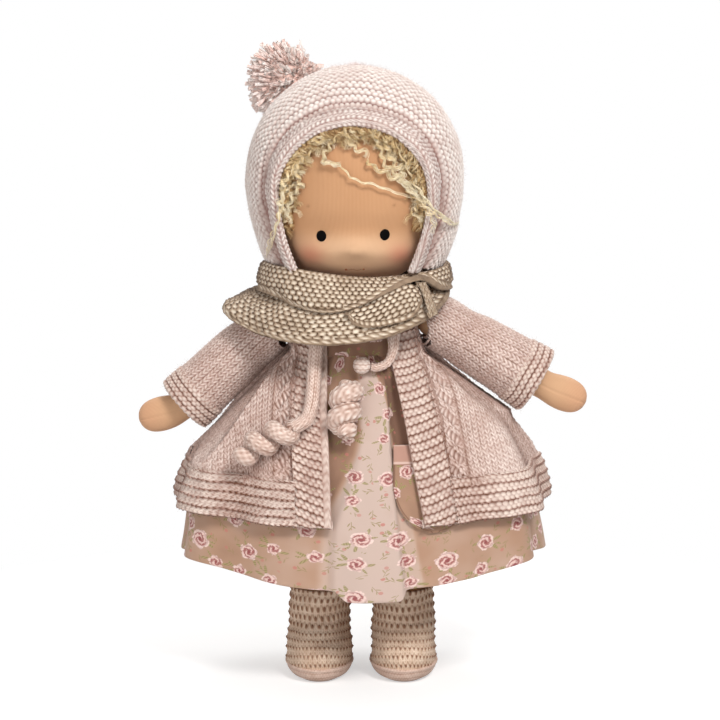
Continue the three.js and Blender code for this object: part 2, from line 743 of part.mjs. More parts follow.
const bodiceTop = shoulderHeight + shoulderCapRadius - layerGap;
const bodiceBox = box(-2 * torsoHalfWidth, 2 * torsoHalfWidth, -2 * torsoHalfDepth, 2 * torsoHalfDepth,
  waistHeight, bodiceTop);
let bodice = solid(stackOf(torsoRings(underDress))).subtract(solid(stackOf(torsoRings(seatGap))));
bodice = bodice.intersect(bodiceBox);
for (const shoulder of shoulders) {
  bodice = bodice.subtract(ball(shoulder.x, 0, shoulderHeight, shoulderCapRadius + 2 * swingGap, coarseRows));
}
add('dress_bodice', bodice, calico);
add('dress_skirt', solid(ringOf(skirtFace, skirtSides, skirtRowShares, clothThickness)), calico);

// Patch pocket: square top, round bottom, with a turned band along its opening
const pocketTopHeight = waistHeight - pocketDrop;
const pocketCurveShare = 0.42;
const pocketFootShare = 0.2;
function pocketFace(u, v, depth) {
  const z = pocketTopHeight - v * pocketHeight;
  const [halfWidth, halfDepth] = dressAt(z, u);
  const out = patchGap + pocketThickness - depth;
  return [leanAt(z) + (halfWidth + out) * Math.sin(u), -(halfDepth + out) * Math.cos(u), z];
}
const angleAtX = (x, z, reach) => Math.asin(THREE.MathUtils.clamp((x - leanAt(z)) / reach, -1, 1));
function pocketSide(v, sign) {
  const z = pocketTopHeight - v * pocketHeight;
  const past = Math.max(v - pocketCurveShare, 0) / (1 - pocketCurveShare);
  const half = pocketWidth / 2 * Math.sqrt(Math.max(1 - past ** 2, pocketFootShare ** 2));
  const middle = pocketEdge + pocketWidth / 2;
  return angleAtX(middle + sign * half, z, dressAt(z, 0)[0]);
}
const bandShare = pocketBandHeight / pocketHeight;
const bandRowShares = [0, 1];
const pocketRowShares = [0, 0.22, 0.42, 0.6, 0.76, 0.9, 1];
const bandSeam = bandShare + seatGap / pocketHeight;
add('pocket_band', solid(slabOf(pocketFace, 8, bandRowShares, (v) => pocketSide(v, -1), (v) => pocketSide(v, 1),
  pocketThickness, 0, bandShare)), calico);
add('pocket', solid(slabOf(pocketFace, 8, pocketRowShares, (v) => pocketSide(v, -1), (v) => pocketSide(v, 1),
  pocketThickness, bandSeam, 1)), calico);

// Cardigan: one knitted layer over the dress, cut into back, fronts, front bands and hem band
const cardiganTop = shoulderHeight + cardiganNeckRise;
const cardiganDropAt = (u) => mix(cardiganFrontDrop, cardiganSideDrop, Math.sin(u) ** 2);
const easeShares = [[0, 0], [0.28, 0], [0.4, 0.5], [0.55, 1], [1, 1]];

function cardiganFace(u, v, depth) {
  const z = cardiganTop - v * cardiganDropAt(u);
  const [halfWidth, halfDepth] = dressAt(z, u);
  const out = layerGap + knitThickness + cardiganEase * through(easeShares, v) - depth;
  return [leanAt(z) + (halfWidth + out) * Math.sin(u), -(halfDepth + out) * Math.cos(u), z];
}

// The angle of a front edge, or of a line that runs beside it at a distance along the cloth
function cardiganEdge(v, sign, inset) {
  const z = cardiganTop - v * cardiganFrontDrop;
  const opening = mix(openingTopWidth, openingHemWidth, v) / 2;
  const offset = mix(openingTopOffset, openingHemOffset, v);
  const [halfWidth, halfDepth] = dressAt(z, 0);
  const reach = halfWidth + layerGap + knitThickness;
  const edge = angleAtX(offset + sign * opening, z, reach);
  const bend = Math.hypot(reach * Math.cos(edge), halfDepth * Math.sin(edge));
  return edge + sign * inset / bend;
}

const hemShare = 1 - hemBandHeight / cardiganFrontDrop;
const hemSeam = hemShare - seatGap / cardiganFrontDrop;
const sideAngle = Math.PI / 2;
const sideSeam = seatGap / torsoHalfWidth;
const cutArms = (form) => shoulders.reduce((left, shoulder) => left.subtract(shoulder.sweep), form);
const panelRowShares = [0, 0.045, 0.09, 0.14, 0.2, 0.28, 0.38, 0.5, 0.64, 0.8, 1];
const bandRows = [...panelRowShares.slice(0, -1).map((share) => share * hemSeam), hemShare, 1];
const hemRowShares = [0, 1];
const knitSlab = (across, downShares, from, to, fromDown, toDown) => solid(
  slabOf(cardiganFace, across, downShares, from, to, knitThickness, fromDown, toDown));

add('cardigan_back', cutArms(knitSlab(16, panelRowShares, () => sideAngle, () => 2 * Math.PI - sideAngle, 0, hemSeam)),
  cardiganWool);
for (const { side, sign } of shoulders) {
  const edge = (v) => cardiganEdge(v, sign, 0);
  const bandEdge = (v) => cardiganEdge(v, sign, frontBandWidth);
  const panelEdge = (v) => cardiganEdge(v, sign, frontBandWidth + 2 * seatGap);
  const seam = () => sign * (sideAngle - sideSeam);
  const ordered = sign > 0 ? [panelEdge, seam, edge, bandEdge] : [seam, panelEdge, bandEdge, edge];
  add(`cardigan_front_${side}`, cutArms(knitSlab(9, panelRowShares, ordered[0], ordered[1], 0, hemSeam)), cardiganWool);
  add(`front_band_${side}`, cutArms(knitSlab(4, bandRows, ordered[2], ordered[3], 0, 1)), cardiganWool);
}
add('hem_band', knitSlab(hemSides, hemRowShares, (v) => cardiganEdge(v, 1, frontBandWidth + 2 * seatGap),
  (v) => 2 * Math.PI + cardiganEdge(v, -1, frontBandWidth + 2 * seatGap), hemShare, 1), cardiganWool);

// Scarf: rows of an angle from the front, then radius and height shares at two edges of a layer
const upperShares = [
  [-180, 1, 0.945, 1.035, 0.56], [-90, 1, 0.945, 1.05, 0.57], [-75, 1, 0.935, 1.04, 0.56],
  [-60, 0.97, 0.9, 1.02, 0.54], [-45, 0.9, 0.87, 1, 0.44], [-30, 0.825, 0.825, 0.98, 0.35],
  [-12, 0.78, 0.81, 0.965, 0.33], [5, 0.78, 0.81, 0.96, 0.444], [20, 0.79, 0.825, 0.93, 0.6],
  [35, 0.83, 0.85, 0.92, 0.72], [48, 0.9, 0.88, 0.96, 0.765], [62, 0.97, 0.9, 1, 0.61],
  [75, 1, 0.935, 1.02, 0.57], [90, 1, 0.945, 1.03, 0.56], [180, 1, 0.945, 1.035, 0.56],
];
const lowerShares = [
  [-180, 0.877, 0.579, 1, 0.52], [-130, 0.877, 0.579, 1.12, 0.47], [-105, 0.877, 0.579, 1.3, 0.36],
  [-83, 0.877, 0.579, 1.404, 0.222], [-61, 0.877, 0.57, 1.263, -0.028], [-30, 0.825, 0.47, 1.167, -0.194],
  [-15, 0.807, 0.43, 1.09, -0.236], [0, 0.807, 0.43, 1.05, -0.222], [20, 0.82, 0.47, 1.053, -0.11],
  [48, 0.86, 0.55, 1.053, 0.21], [65, 0.877, 0.579, 1.035, 0.39], [90, 0.877, 0.579, 1, 0.53],
  [130, 0.877, 0.579, 0.98, 0.53], [180, 0.877, 0.579, 1, 0.52],
];
const tabShares = [
  [-5, 0.92, 0.33, 0.985, 0.25], [-2, 0.92, 0.39, 1.01, 0.14], [4, 0.92, 0.41, 1.04, 0.08],
  [12, 0.92, 0.48, 1.05, 0.08], [20, 0.925, 0.57, 1.055, 0.12], [32, 0.935, 0.67, 1.065, 0.2],
  [39, 0.945, 0.7, 1.05, 0.3], [42.5, 0.96, 0.66, 1.03, 0.42],
];
const strapShares = [[43.5, 0.95, 0.7, 1.125, 0.2], [52, 0.965, 0.7, 1.12, 0.27]];

function scarfPlace(angle, radius, height) {
  return [bodyLean + radius * Math.sin(angle), -radius * Math.cos(angle), height];
}

function layerFace(shares) {
  return (u, v, depth) => {
    const degrees = THREE.MathUtils.radToDeg(u);
    const [topRadius, topRise, footRadius, footRise] = [1, 2, 3, 4].map((n) => through(shares, degrees, n));
    const radius = scarfRadius * mix(topRadius, footRadius, v) - depth;
    return scarfPlace(u, radius, shoulderHeight + scarfRise * mix(topRise, footRise, v));
  };
}

// The lower layer starts level on the shoulders and turns down past its shoulder ring
function lowerFace(u, v, depth) {
  const degrees = THREE.MathUtils.radToDeg(u);
  const [ringRadius, ringRise, edgeRadius, edgeRise] = [1, 2, 3, 4].map((n) => through(lowerShares, degrees, n));
  const ring = [scarfRadius * ringRadius, scarfRise * ringRise];
  const edge = [scarfRadius * edgeRadius, scarfRise * edgeRise];
  const slope = Math.atan2(ring[1] - edge[1], edge[0] - ring[0]);
  const flat = v < 0.5;
  const along = flat ? 2 * v : 2 * v - 1;
  const tilt = flat ? slope / 2 * along : mix(slope / 2, slope, Math.min(2 * along, 1));
  const radius = flat ? mix(scarfInnerRadius, ring[0], along) : mix(ring[0], edge[0], along);
  const rise = flat ? ring[1] : mix(ring[1], edge[1], along);
  return scarfPlace(u, radius - depth * Math.sin(tilt), shoulderHeight + rise - depth * Math.cos(tilt));
}

const patchRowShares = [0, 0.5, 1];
const layerRowShares = [0, 0.25, 0.5, 0.75, 1];
add('scarf_lower', solid(ringOf(lowerFace, scarfSides, layerRowShares, scarfThickness)), scarfWool);
add('scarf_upper', solid(ringOf(layerFace(upperShares), scarfSides, patchRowShares, scarfThickness)), scarfWool);
const between = (shares) => [shares[0][0], shares[shares.length - 1][0]].map(radians);
for (const [name, shares, thickness, across] of [
  ['scarf_tab', tabShares, tabThickness, 10], ['scarf_loop', strapShares, strapThickness, 2],
]) {
  const [from, to] = between(shares);
  add(name, solid(slabOf(layerFace(shares), across, patchRowShares, () => from, () => to, thickness)), scarfWool);
}

// Ties: knitted cords from the neck corners of the fronts, each ending in a corkscrew curl.
// Their routes are chosen by hand, from the neck down.
const leftTieRoute = [
  [-25.5, -30.8, 229], [-26, -32, 220], [-26.8, -33.4, 210], [-27.6, -36, 200], [-28.3, -39.8, 190],
  [-29, -45.2, 180], [-30.2, -51, 171.5], [-32.6, -56, 166], [-36.5, -58.4, 163.5], [-40, -57.8, 161.6],
];
const rightTieRoute = [
  [19, -29.6, 229], [19.3, -31.2, 220], [19.5, -32.8, 211], [18.6, -34.2, 203], [15.5, -35.8, 197],
  [9.5, -36.8, 194.2], [5.6, -37.1, 194.7],
];
const knotPlace = [0.2, -37.4, 195.6];
leftCurl.ends = [[-40.3, -58.2, 161.4], [-80, -52, 140]];
rightCurl.ends = [[-0.9, -40.4, 190.2], [-11, -62.4, 150.5]];
const curlSteps = 8;
const curlSides = 5;
const tieSides = 10;
const tieSteps = 14;
const easeTurns = 0.5;

// The middle line of a curl: straight for a tube diameter at both ends, and a helix between them
function curlLine({ ends, turns, tube, radius }) {
  const [start, end] = ends.map((point) => new THREE.Vector3(...point));
  const axis = end.clone().sub(start);
  const straight = 2 * tube / axis.length();
  const across = new THREE.Vector3(0, 1, 0).cross(axis).normalize();
  const beside = axis.clone().normalize().cross(across);
  const line = [start.clone()];
  const steps = Math.round(turns * curlSteps);
  for (let step = 0; step <= steps; step += 1) {
    const share = step / steps;
    const ease = THREE.MathUtils.smoothstep(Math.min(share, 1 - share) * turns, 0, easeTurns);
    const turn = share * turns * 2 * Math.PI;
    const point = start.clone().addScaledVector(axis, mix(straight, 1 - straight, share));
    point.addScaledVector(across, radius * ease * Math.cos(turn));
    point.addScaledVector(beside, radius * ease * Math.sin(turn));
    line.push(point);
  }
  line.push(end.clone());
  return line;
}

// A tube of few sides along a line of points, with its ends square to the line
function tubeAlong(line, radius, sides) {
  const rings = [];
  let up = new THREE.Vector3(0, 0, 1);
  line.forEach((point, index) => {
    const before = line[Math.max(index - 1, 0)];
    const after = line[Math.min(index + 1, line.length - 1)];
    const along = after.clone().sub(before).normalize();
    up = up.clone().addScaledVector(along, -up.dot(along)).normalize();
    const aside = along.clone().cross(up);
    const ring = [];
    for (let side = 0; side < sides; side += 1) {
      const turn = side / sides * 2 * Math.PI;
      const place = point.clone().addScaledVector(up, radius * Math.cos(turn));
      ring.push(place.addScaledVector(aside, radius * Math.sin(turn)).toArray());
    }
    rings.push(ring);
  });
  return solid(stackOf(rings));
}

// The least gap between parts of a curl that are over half a turn apart
function leastGap(line, tube) {
  let least = Infinity;
  for (let a = 0; a < line.length; a += 1) {
    for (let b = a + curlSteps / 2 + 1; b < line.length; b += 1) {
      least = Math.min(least, line[a].distanceTo(line[b]) - 2 * tube);
    }
  }
  return least;
}

function tieOf(route, radius) {
  const section = new THREE.Shape();
  section.absarc(0, 0, radius, 0, 2 * Math.PI, false);
  const curve = new THREE.CatmullRomCurve3(route.map((point) => new THREE.Vector3(...point)));
  return solid(new THREE.ExtrudeGeometry(section, {
    steps: tieSteps, curveSegments: tieSides / 2, bevelEnabled: false, extrudePath: curve,
  }));
}

const tieNames = ['tie_left', 'tie_right', 'tie_knot', 'tie_curl_left', 'tie_curl_right'];
add('tie_left', tieOf(leftTieRoute, leftTieRadius), tieWool);
add('tie_right', tieOf(rightTieRoute, rightTieRadius), tieWool);
add('tie_knot', ball(...knotPlace, knotRadius, smallRows), tieWool);
for (const curl of [leftCurl, rightCurl]) {
  const line = curlLine(curl);
  console.log(`least gap inside tie_curl_${curl.side}: ${leastGap(line, curl.tube).toFixed(2)} mm`);
  add(`tie_curl_${curl.side}`, tubeAlong(line, curl.tube, curlSides), tieWool);
}

// The origin: below the middle of the doll's box, measured without the ties
const bounds = new THREE.Box3();
for (const [name, form] of pieces) {
  if (tieNames.includes(name)) continue;
  const { min, max } = form.boundingBox();
  bounds.union(new THREE.Box3(new THREE.Vector3(...min), new THREE.Vector3(...max)));
}
const middle = bounds.getCenter(new THREE.Vector3());
group.position.set(-middle.x, -middle.y, -bounds.min.z);

export default group;
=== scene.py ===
# %% [markdown]
# # A rag doll in knitted clothes
# The doll is sewn from skin-coloured tricot and stuffed with wool. It wears a garter stitch bonnet with a
# pompom, a long scarf wound twice round the neck, an open cardigan with corkscrew ties, a printed cotton
# dress and openwork boots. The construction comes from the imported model. Here every soft piece gets its real
# surface.

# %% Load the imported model
import bpy
import json
import math
import numpy as np
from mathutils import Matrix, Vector

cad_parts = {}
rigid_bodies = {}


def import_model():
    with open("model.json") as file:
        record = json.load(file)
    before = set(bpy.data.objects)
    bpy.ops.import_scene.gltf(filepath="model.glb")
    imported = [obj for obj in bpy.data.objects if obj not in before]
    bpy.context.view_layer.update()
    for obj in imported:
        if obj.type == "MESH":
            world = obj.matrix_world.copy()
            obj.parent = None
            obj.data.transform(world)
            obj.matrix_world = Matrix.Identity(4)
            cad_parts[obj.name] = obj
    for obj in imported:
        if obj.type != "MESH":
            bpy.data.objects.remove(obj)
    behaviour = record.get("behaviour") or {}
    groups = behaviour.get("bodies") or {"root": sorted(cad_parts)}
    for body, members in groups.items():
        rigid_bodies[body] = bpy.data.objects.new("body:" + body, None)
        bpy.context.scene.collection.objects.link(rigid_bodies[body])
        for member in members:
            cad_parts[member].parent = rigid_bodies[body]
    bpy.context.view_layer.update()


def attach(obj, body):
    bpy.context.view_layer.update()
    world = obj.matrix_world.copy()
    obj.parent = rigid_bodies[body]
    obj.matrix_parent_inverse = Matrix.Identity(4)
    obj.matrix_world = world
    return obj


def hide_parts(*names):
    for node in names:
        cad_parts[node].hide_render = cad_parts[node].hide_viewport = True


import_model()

# %% [markdown]
# ## Units and places
# All sizes below are millimetres in the doll's own frame: +Z up, -Y the way it faces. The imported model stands
# a fraction of a millimetre to one side of that frame, so one offset brings each point to its place, in
# metres.

# %% Units
MM = 0.001
frame_offset = np.array([-0.211, 1.230, 0.0])


def to_row(points):
    return (np.asarray(points, float) + frame_offset) * MM


print("the doll's own origin, in metres", to_row([0, 0, 0]).round(5).tolist())

# %% [markdown]
# ## Camera
# The photograph looks slightly down, from about a metre and a half away. A long lens keeps the doll's
# outline.

# %% Camera
camera_distance = 1.6
camera_elevation = math.radians(8)
picture_height = 441.4 * MM
aim = Vector(to_row([-0.92, 0, 193.6]))
camera_data = bpy.data.cameras.new("camera")
camera = bpy.data.objects.new("camera", camera_data)
bpy.context.scene.collection.objects.link(camera)
away = Vector((0, -math.cos(camera_elevation), math.sin(camera_elevation)))
camera.location = aim + camera_distance * away
camera.rotation_euler = (math.pi / 2 - camera_elevation, 0, 0)
camera_data.sensor_fit = "HORIZONTAL"
camera_data.angle = 2 * math.atan(picture_height / 2 / camera_distance)
camera_data.clip_start = 0.01
bpy.context.scene.camera = camera
print("lens", round(math.degrees(camera_data.angle), 2), "degrees")

# %% [markdown]
# ## Shader maths as Python
# A finish is a formula: a height, a mask, a mix of two colours. One small class wraps a socket, so that the
# formulas below read as Python and each operator adds its Math node.

# %% A wrapped socket
class Value:
    def __init__(self, finish, socket):
        self.finish = finish
        self.socket = socket

    def _math(self, operation, first, second):
        return self.finish.node("ShaderNodeMath", {"operation": operation}, [first, second])

    def __add__(self, other):
        return self._math("ADD", self, other)

    def __sub__(self, other):
        return self._math("SUBTRACT", self, other)

    def __rsub__(self, other):
        return self._math("SUBTRACT", other, self)

    def __mul__(self, other):
        return self._math("MULTIPLY", self, other)

    def __truediv__(self, other):
        return self._math("DIVIDE", self, other)

    def __pow__(self, other):
        return self._math("POWER", self, other)

    def most(self, other):
        return self._math("MAXIMUM", self, other)

    def wave(self):
        return self._math("SINE", self, 0)

    def share(self):
        """Held between 0 and 1."""
        return self._math("MINIMUM", self.most(0), 1)

    def also(self, output):
        """Another output of the same node."""
        return Value(self.finish, self.socket.node.outputs[output])

    __radd__ = __add__
    __rmul__ = __mul__

# %% A node tree
class Nodes:
    """A node tree whose one method adds any node: its type, its settings, then its inputs."""

    def __init__(self, tree):
        self.tree = tree

    def node(self, kind, settings=None, inputs=None, output=0):
        made = self.tree.nodes.new(kind)
        for key, value in (settings or {}).items():
            if key == "stops":
                self._stops(made.color_ramp, value)
            else:
                setattr(made, key, value)
        pairs = inputs.items() if isinstance(inputs, dict) else enumerate(inputs or [])
        for key, value in pairs:
            if isinstance(value, Value):
                self.tree.links.new(value.socket, made.inputs[key])
            else:
                made.inputs[key].default_value = value
        return Value(self, made.outputs[output])

    def _stops(self, ramp, stops):
        while len(ramp.elements) < len(stops):
            ramp.elements.new(0.5)
        for element, (at, colour) in zip(ramp.elements, stops):
            element.position = at
            element.color = four(colour)

    def link(self, value, socket):
        self.tree.links.new(value.socket, socket)

    def seen_directly(self):
        """1 for what the camera sees itself or through gloss, 0 for light on its way to the doll."""
        path = self.node("ShaderNodeLightPath", output="Is Camera Ray")
        return (path + path.also("Is Glossy Ray") + path.also("Is Transmission Ray")).share()


class Finish(Nodes):
    """A material of one layered surface, with the fields and formulas that its pieces need."""

    def __init__(self, name, slot=None, roughness=0.9, sheen=0.0):
        self.material = bpy.data.materials.new(name)
        self.material.use_nodes = True
        super().__init__(self.material.node_tree)
        self.shader = self.tree.nodes["Principled BSDF"]
        self.shader.inputs["Roughness"].default_value = roughness
        self.shader.inputs["Sheen Weight"].default_value = sheen
        self.shader.inputs["Sheen Roughness"].default_value = 0.5
        self.shader.inputs["Specular IOR Level"].default_value = 0.25

    def field(self, name):
        return self.node("ShaderNodeAttribute", {"attribute_name": name}, output="Fac")

    def position(self):
        return self.node("ShaderNodeTexCoord", output="Object")

    def noise(self, scale, detail=2.0, vector=None):
        inputs = {"Scale": scale, "Detail": detail, "Vector": vector or self.position()}
        return self.node("ShaderNodeTexNoise", {}, inputs)

    def ramp(self, at, stops):
        return self.node("ShaderNodeValToRGB", {"stops": stops}, [at])

    def mix(self, share, low, high):
        settings = {"data_type": "RGBA"}
        low, high = (end if isinstance(end, Value) else four(end) for end in (low, high))
        return self.node("ShaderNodeMix", settings, {0: share, 6: low, 7: high}, output=2)

    def colour(self, value):
        self.link(value, self.shader.inputs["Base Color"])

    def bump(self, height, distance, strength=1.0):
        inputs = {"Strength": strength, "Distance": distance * MM, "Height": height}
        self.link(self.node("ShaderNodeBump", {}, inputs), self.shader.inputs["Normal"])

# %% Colours as written
def srgb(code):
    """A colour as written, such as 'c6a49b', in the linear values that a shader takes."""
    parts = [int(code[i:i + 2], 16) / 255 for i in (0, 2, 4)]
    return tuple(p / 12.92 if p <= 0.04045 else ((p + 0.055) / 1.055) ** 2.4 for p in parts)


def four(colour):
    """The four numbers of a colour, which is a code as written or three linear values."""
    return (*(srgb(colour) if isinstance(colour, str) else colour), 1)


# %% [markdown]
# ## Yarn and cloth finishes
# Yarn is painted lighter on the crest of each stitch, where the fibres catch the light, and darker in
# the gap between two stitches: painted highlight and painted shade. The mesh carries that height as a
# field named ply. Heathered wool also changes shade from one patch to the next, in soft noise along the
# fabric.

# %% Yarn finish
def yarn_finish(name, slot, valley, middle, crest, fleck, fleck_amount):
    finish = Finish(name, slot, roughness=0.95, sheen=0.1)
    ply = finish.field("ply")
    tone = ply + (finish.noise(260, 3) - 0.5) * 0.5
    shade = finish.ramp(tone, [(0.1, valley), (0.58, middle), (1.0, crest)])
    patches = ((finish.noise(90, 4) - 0.47) * 5).share()
    finish.colour(finish.mix(patches * fleck_amount, shade, fleck))
    fibre = finish.noise(2600, 2) * 0.6 + finish.noise(900, 2) * 0.4
    finish.bump(fibre, 0.35, 0.7)
    return finish.material

# %% Yarns
cardigan_yarn = yarn_finish("cardigan_yarn", "cardigan_wool", "785342", "c4aaa0", "ecded7", "ae8c80", 0.35)
# The bands, hem and cuffs are the cardigan's own wool, painted darker: painted shade.
shaded_band_yarn = yarn_finish("shaded_band_yarn", "cardigan_wool", "6c4737", "b4968a", "e3d3c9", "9e7b70", 0.35)
bonnet_yarn = yarn_finish("bonnet_yarn", "bonnet_wool", "8a655d", "cab8b1", "f2ebe6", "b8988f", 0.25)
scarf_yarn = yarn_finish("scarf_yarn", "scarf_wool", "47301f", "a8927c", "e8dccb", "8f7962", 0.25)
tie_yarn = yarn_finish("tie_yarn", "tie_wool", "9f7a6a", "d6bbae", "f3e6de", "c2a193", 0.3)
boot_yarn = yarn_finish("boot_yarn", "boot_cotton", "8a654f", "d0b49d", "f0dfcd", "b89780", 0.3)
sole_yarn = yarn_finish("sole_yarn", "sole_cotton", "9a7765", "d0b0a0", "e6d0c2", "b9957f", 0.3)
pompom_yarn = yarn_finish("pompom_yarn", "pompom_wool", "e0b7aa", "f6dcd3", "fff8f4", "e8bfb3", 0.5)

# %% [markdown]
# ## Skin, thread and hair finishes
# Doll's tricot is a fine warp knit: thin ribs run down it. The cheeks are blushed with a little wax crayon,
# strongest in the middle and gone at the edge. The face also gets painted light and shade: the lower face
# and the bridge of the nose are painted lighter, as painted highlight, and painted shade darkens the skin
# under the nose and across the chin.

# %% Skin finish
def skin_finish():
    finish = Finish("tricot", "skin", roughness=0.8, sheen=0.1)
    rib = (finish.field("rib") * (2 * math.pi / 0.75)).wave() * 0.5 + 0.5
    mottle = finish.noise(45, 3)
    base = finish.mix(mottle, "b5845c", "c09068")
    # The lower face and the bridge of the nose are painted lighter here: painted highlight.
    paler = finish.mix(finish.field("pale_and_highlight").share() * 0.6, base, "dcb795")
    lit = finish.mix(rib * 0.22, paler, "e3bd9b")
    # The blush field carries the cheeks' crayon blush, and also painted shade.
    blush_and_shade = finish.field("blush_and_shade")
    blushed = finish.mix(blush_and_shade.share() * 0.5, lit, "c8664e")
    # Where the field is below zero the skin turns brown: the brow dots, and painted shade under the nose.
    finish.colour(finish.mix((0 - blush_and_shade).share() * 0.55, blushed, "7c5138"))
    finish.bump(rib + finish.noise(1500, 2) * 0.6, 0.16, 0.6)
    return finish.material

# %% Thread and hair finishes
def thread_finish(name, slot, dark, light, roughness=0.7):
    finish = Finish(name, slot, roughness=roughness)
    finish.shader.inputs["Specular IOR Level"].default_value = 0.08
    # Each strand is painted lighter along its crest and darker between strands: painted highlight and shade.
    strand = (finish.field("rib") * (2 * math.pi / 0.45)).wave() * 0.5 + 0.5
    finish.colour(finish.mix(strand, dark, light))
    finish.bump(strand, 0.12, 0.8)
    return finish.material


def hair_finish():
    finish = Finish("mohair", "mohair", roughness=0.6, sheen=0.1)
    tone = finish.field("ply") * 0.75 + finish.noise(300, 3) * 0.35
    stops = [(0.0, "5d3f1f"), (0.33, "9f764a"), (0.62, "e4c997"), (1.0, "fff7de")]
    finish.colour(finish.ramp(tone, stops))
    return finish.material


def fuzz_finish(name, slot, dark, light):
    """Loose fibres that stand off the wool. They are thin, so they are let through in part."""
    finish = Finish(name, slot, roughness=1.0, sheen=0.4)
    finish.colour(finish.mix(finish.field("ply"), dark, light))
    finish.shader.inputs["Alpha"].default_value = 0.55
    return finish.material

# %% Skin, threads and hair
skin = skin_finish()
eye_thread = thread_finish("eye_thread", "eye_thread", "020101", "060404", 0.8)
mouth_thread = thread_finish("mouth_thread", "mouth_thread", "8a5238", "a06548")
neck_cotton = thread_finish("neck_cotton", "neck_thread", "9c755f", "c69c83")
mohair = hair_finish()

# %% [markdown]
# ## Calico
# The dress is a pale cotton with a small scattered print of roses and leaves, a traditional dress print. Each
# Voronoi cell is one flower: rings of petals round its middle, a leaf on either side, and a turn of its own.
# The pattern follows the cloth, in two fields that measure millimetres along and across it, so it bends with
# each fold.

# %% A scatter of motifs
class Motifs:
    """One scatter of motifs, each with its own middle, turn and size, and local millimetres x and y."""

    def __init__(self, finish, place, pitch, randomness, shift):
        self.finish = finish
        moved = finish.node("ShaderNodeVectorMath", {"operation": "ADD"}, [place, (shift, shift * 0.7, 0)])
        cell = finish.node("ShaderNodeTexVoronoi", {"voronoi_dimensions": "2D"},
                           {"Vector": moved, "Scale": 1 / pitch, "Randomness": randomness})
        self.reach = cell * pitch
        away = finish.node("ShaderNodeVectorMath", {"operation": "SUBTRACT"}, [moved, cell.also("Position")])
        self.own = finish.node("ShaderNodeSeparateColor", {}, [cell.also("Color")])
        turned = finish.node("ShaderNodeVectorRotate", {"rotation_type": "Z_AXIS"},
                             {"Vector": away, "Angle": self.own * 6.28})
        self.x = finish.node("ShaderNodeSeparateXYZ", {}, [turned])
        self.y = self.x.also("Y")
        self.angle = finish.node("ShaderNodeMath", {"operation": "ARCTAN2"}, [self.y, self.x])

    def leaf(self, x, y, long, wide, slant):
        along = (self.x - x) / long
        across = (self.y - y - (self.x - x) * slant) / wide
        return ((1 - along * along - across * across) * 2.2).share()

    def stem(self, x_from, x_to, bend, wide=0.28):
        on_line = (1 - (self.y - (self.x * 0.45).wave() * bend)**2 / wide**2).share()
        return on_line * ((self.x - x_from) * 4).share() * ((x_to - self.x) * 4).share()

# %% Roses
def rose_print(finish, place, motifs, petals_reach):
    """The share covered by a rose, and its colour: petals that wind out from a dark heart."""
    ragged = finish.noise(0.7, 3, place) - 0.5
    size = petals_reach * (0.72 + 0.5 * motifs.own.also("Green"))
    edge = size + (motifs.angle * 5).wave() * 0.4 + ragged * 3.4
    inside = ((edge - motifs.reach) * 2.4).share()
    winding = (motifs.reach * 2.5 + motifs.angle * 2 + ragged * 9).wave() * 0.5 + 0.5
    petal = finish.mix(winding, "98504f", "e6c9c1")
    petal = finish.mix(((motifs.reach - size * 0.66) * 1.6).share() * 0.45, petal, "f0dfd8")
    return inside, finish.mix(((size * 0.26 - motifs.reach) * 2).share(), petal, "8d4045")

# %% Calico finish
def calico_finish():
    finish = Finish("calico", "calico", roughness=0.85, sheen=0.12)
    place = finish.node("ShaderNodeCombineXYZ", {}, [finish.field("cloth_u"), finish.field("cloth_v"), 0.0])
    # Here ply is only painted light and shade: the ground runs from the brown of painted shade to the lit pink.
    shade = finish.field("ply") + (finish.noise(0.05, 2, place) - 0.5) * 0.5
    ground = finish.ramp(shade, [(0, "7c5b4a"), (0.4, "ac8870"), (0.7, "bb9e8c"), (1, "c6b0a5")])
    sprigs = Motifs(finish, place, 8.8, 0.85, 31.0)
    roses = Motifs(finish, place, 17.5, 0.6, 0.0)
    clear = ((roses.reach - 6.8) * 1.5).share() * (1 - sprigs.own.also("Blue") * 0.35)
    sprig = sprigs.stem(-2.6, 2.4, 0.5, 0.22).most(sprigs.leaf(-0.9, 0.9, 1.1, 0.42, 0.7))
    sprig = sprig.most(sprigs.leaf(0.8, -0.8, 1.1, 0.42, -0.6)).most(sprigs.leaf(1.6, 0.9, 0.9, 0.36, 0.8))
    printed = finish.mix(sprig * clear * 0.8, ground, "8f8250")
    bud = ((1.15 - ((sprigs.x - 2.9)**2 + sprigs.y**2)) * 2).share() * clear
    printed = finish.mix(bud * 0.75, printed, "bd7268")
    leaves = roses.stem(3.0, 7.6, 1.2).most(roses.leaf(5.4, 1.9, 2.7, 1.05, 0.55))
    leaves = leaves.most(roses.leaf(5.2, -2.3, 2.4, 1.0, -0.6)).most(roses.leaf(-5.1, 1.2, 2.3, 0.95, -0.5))
    leaves = leaves.most(roses.leaf(-4.2, -2.6, 1.8, 0.7, 0.7)).most(roses.leaf(7.2, 0.4, 1.5, 0.55, 0.2))
    vein = (roses.x * 5 + roses.y * 3).wave() * 0.5 + 0.5
    printed = finish.mix(leaves * 0.8, printed, finish.mix(vein, "7d7546", "a69c68"))
    inside, rose = rose_print(finish, place, roses, 4.5)
    printed = finish.mix(inside * 0.92, printed, rose)
    thread = 2 * math.pi / 0.42
    weave = (finish.field("cloth_u") * thread).wave() * (finish.field("cloth_v") * thread).wave()
    finish.colour(finish.mix((weave * 0.5 + 0.5) * 0.1, printed, "b99c90"))
    finish.bump(weave + finish.noise(700, 2) * 1.5, 0.06, 0.5)
    return finish.material


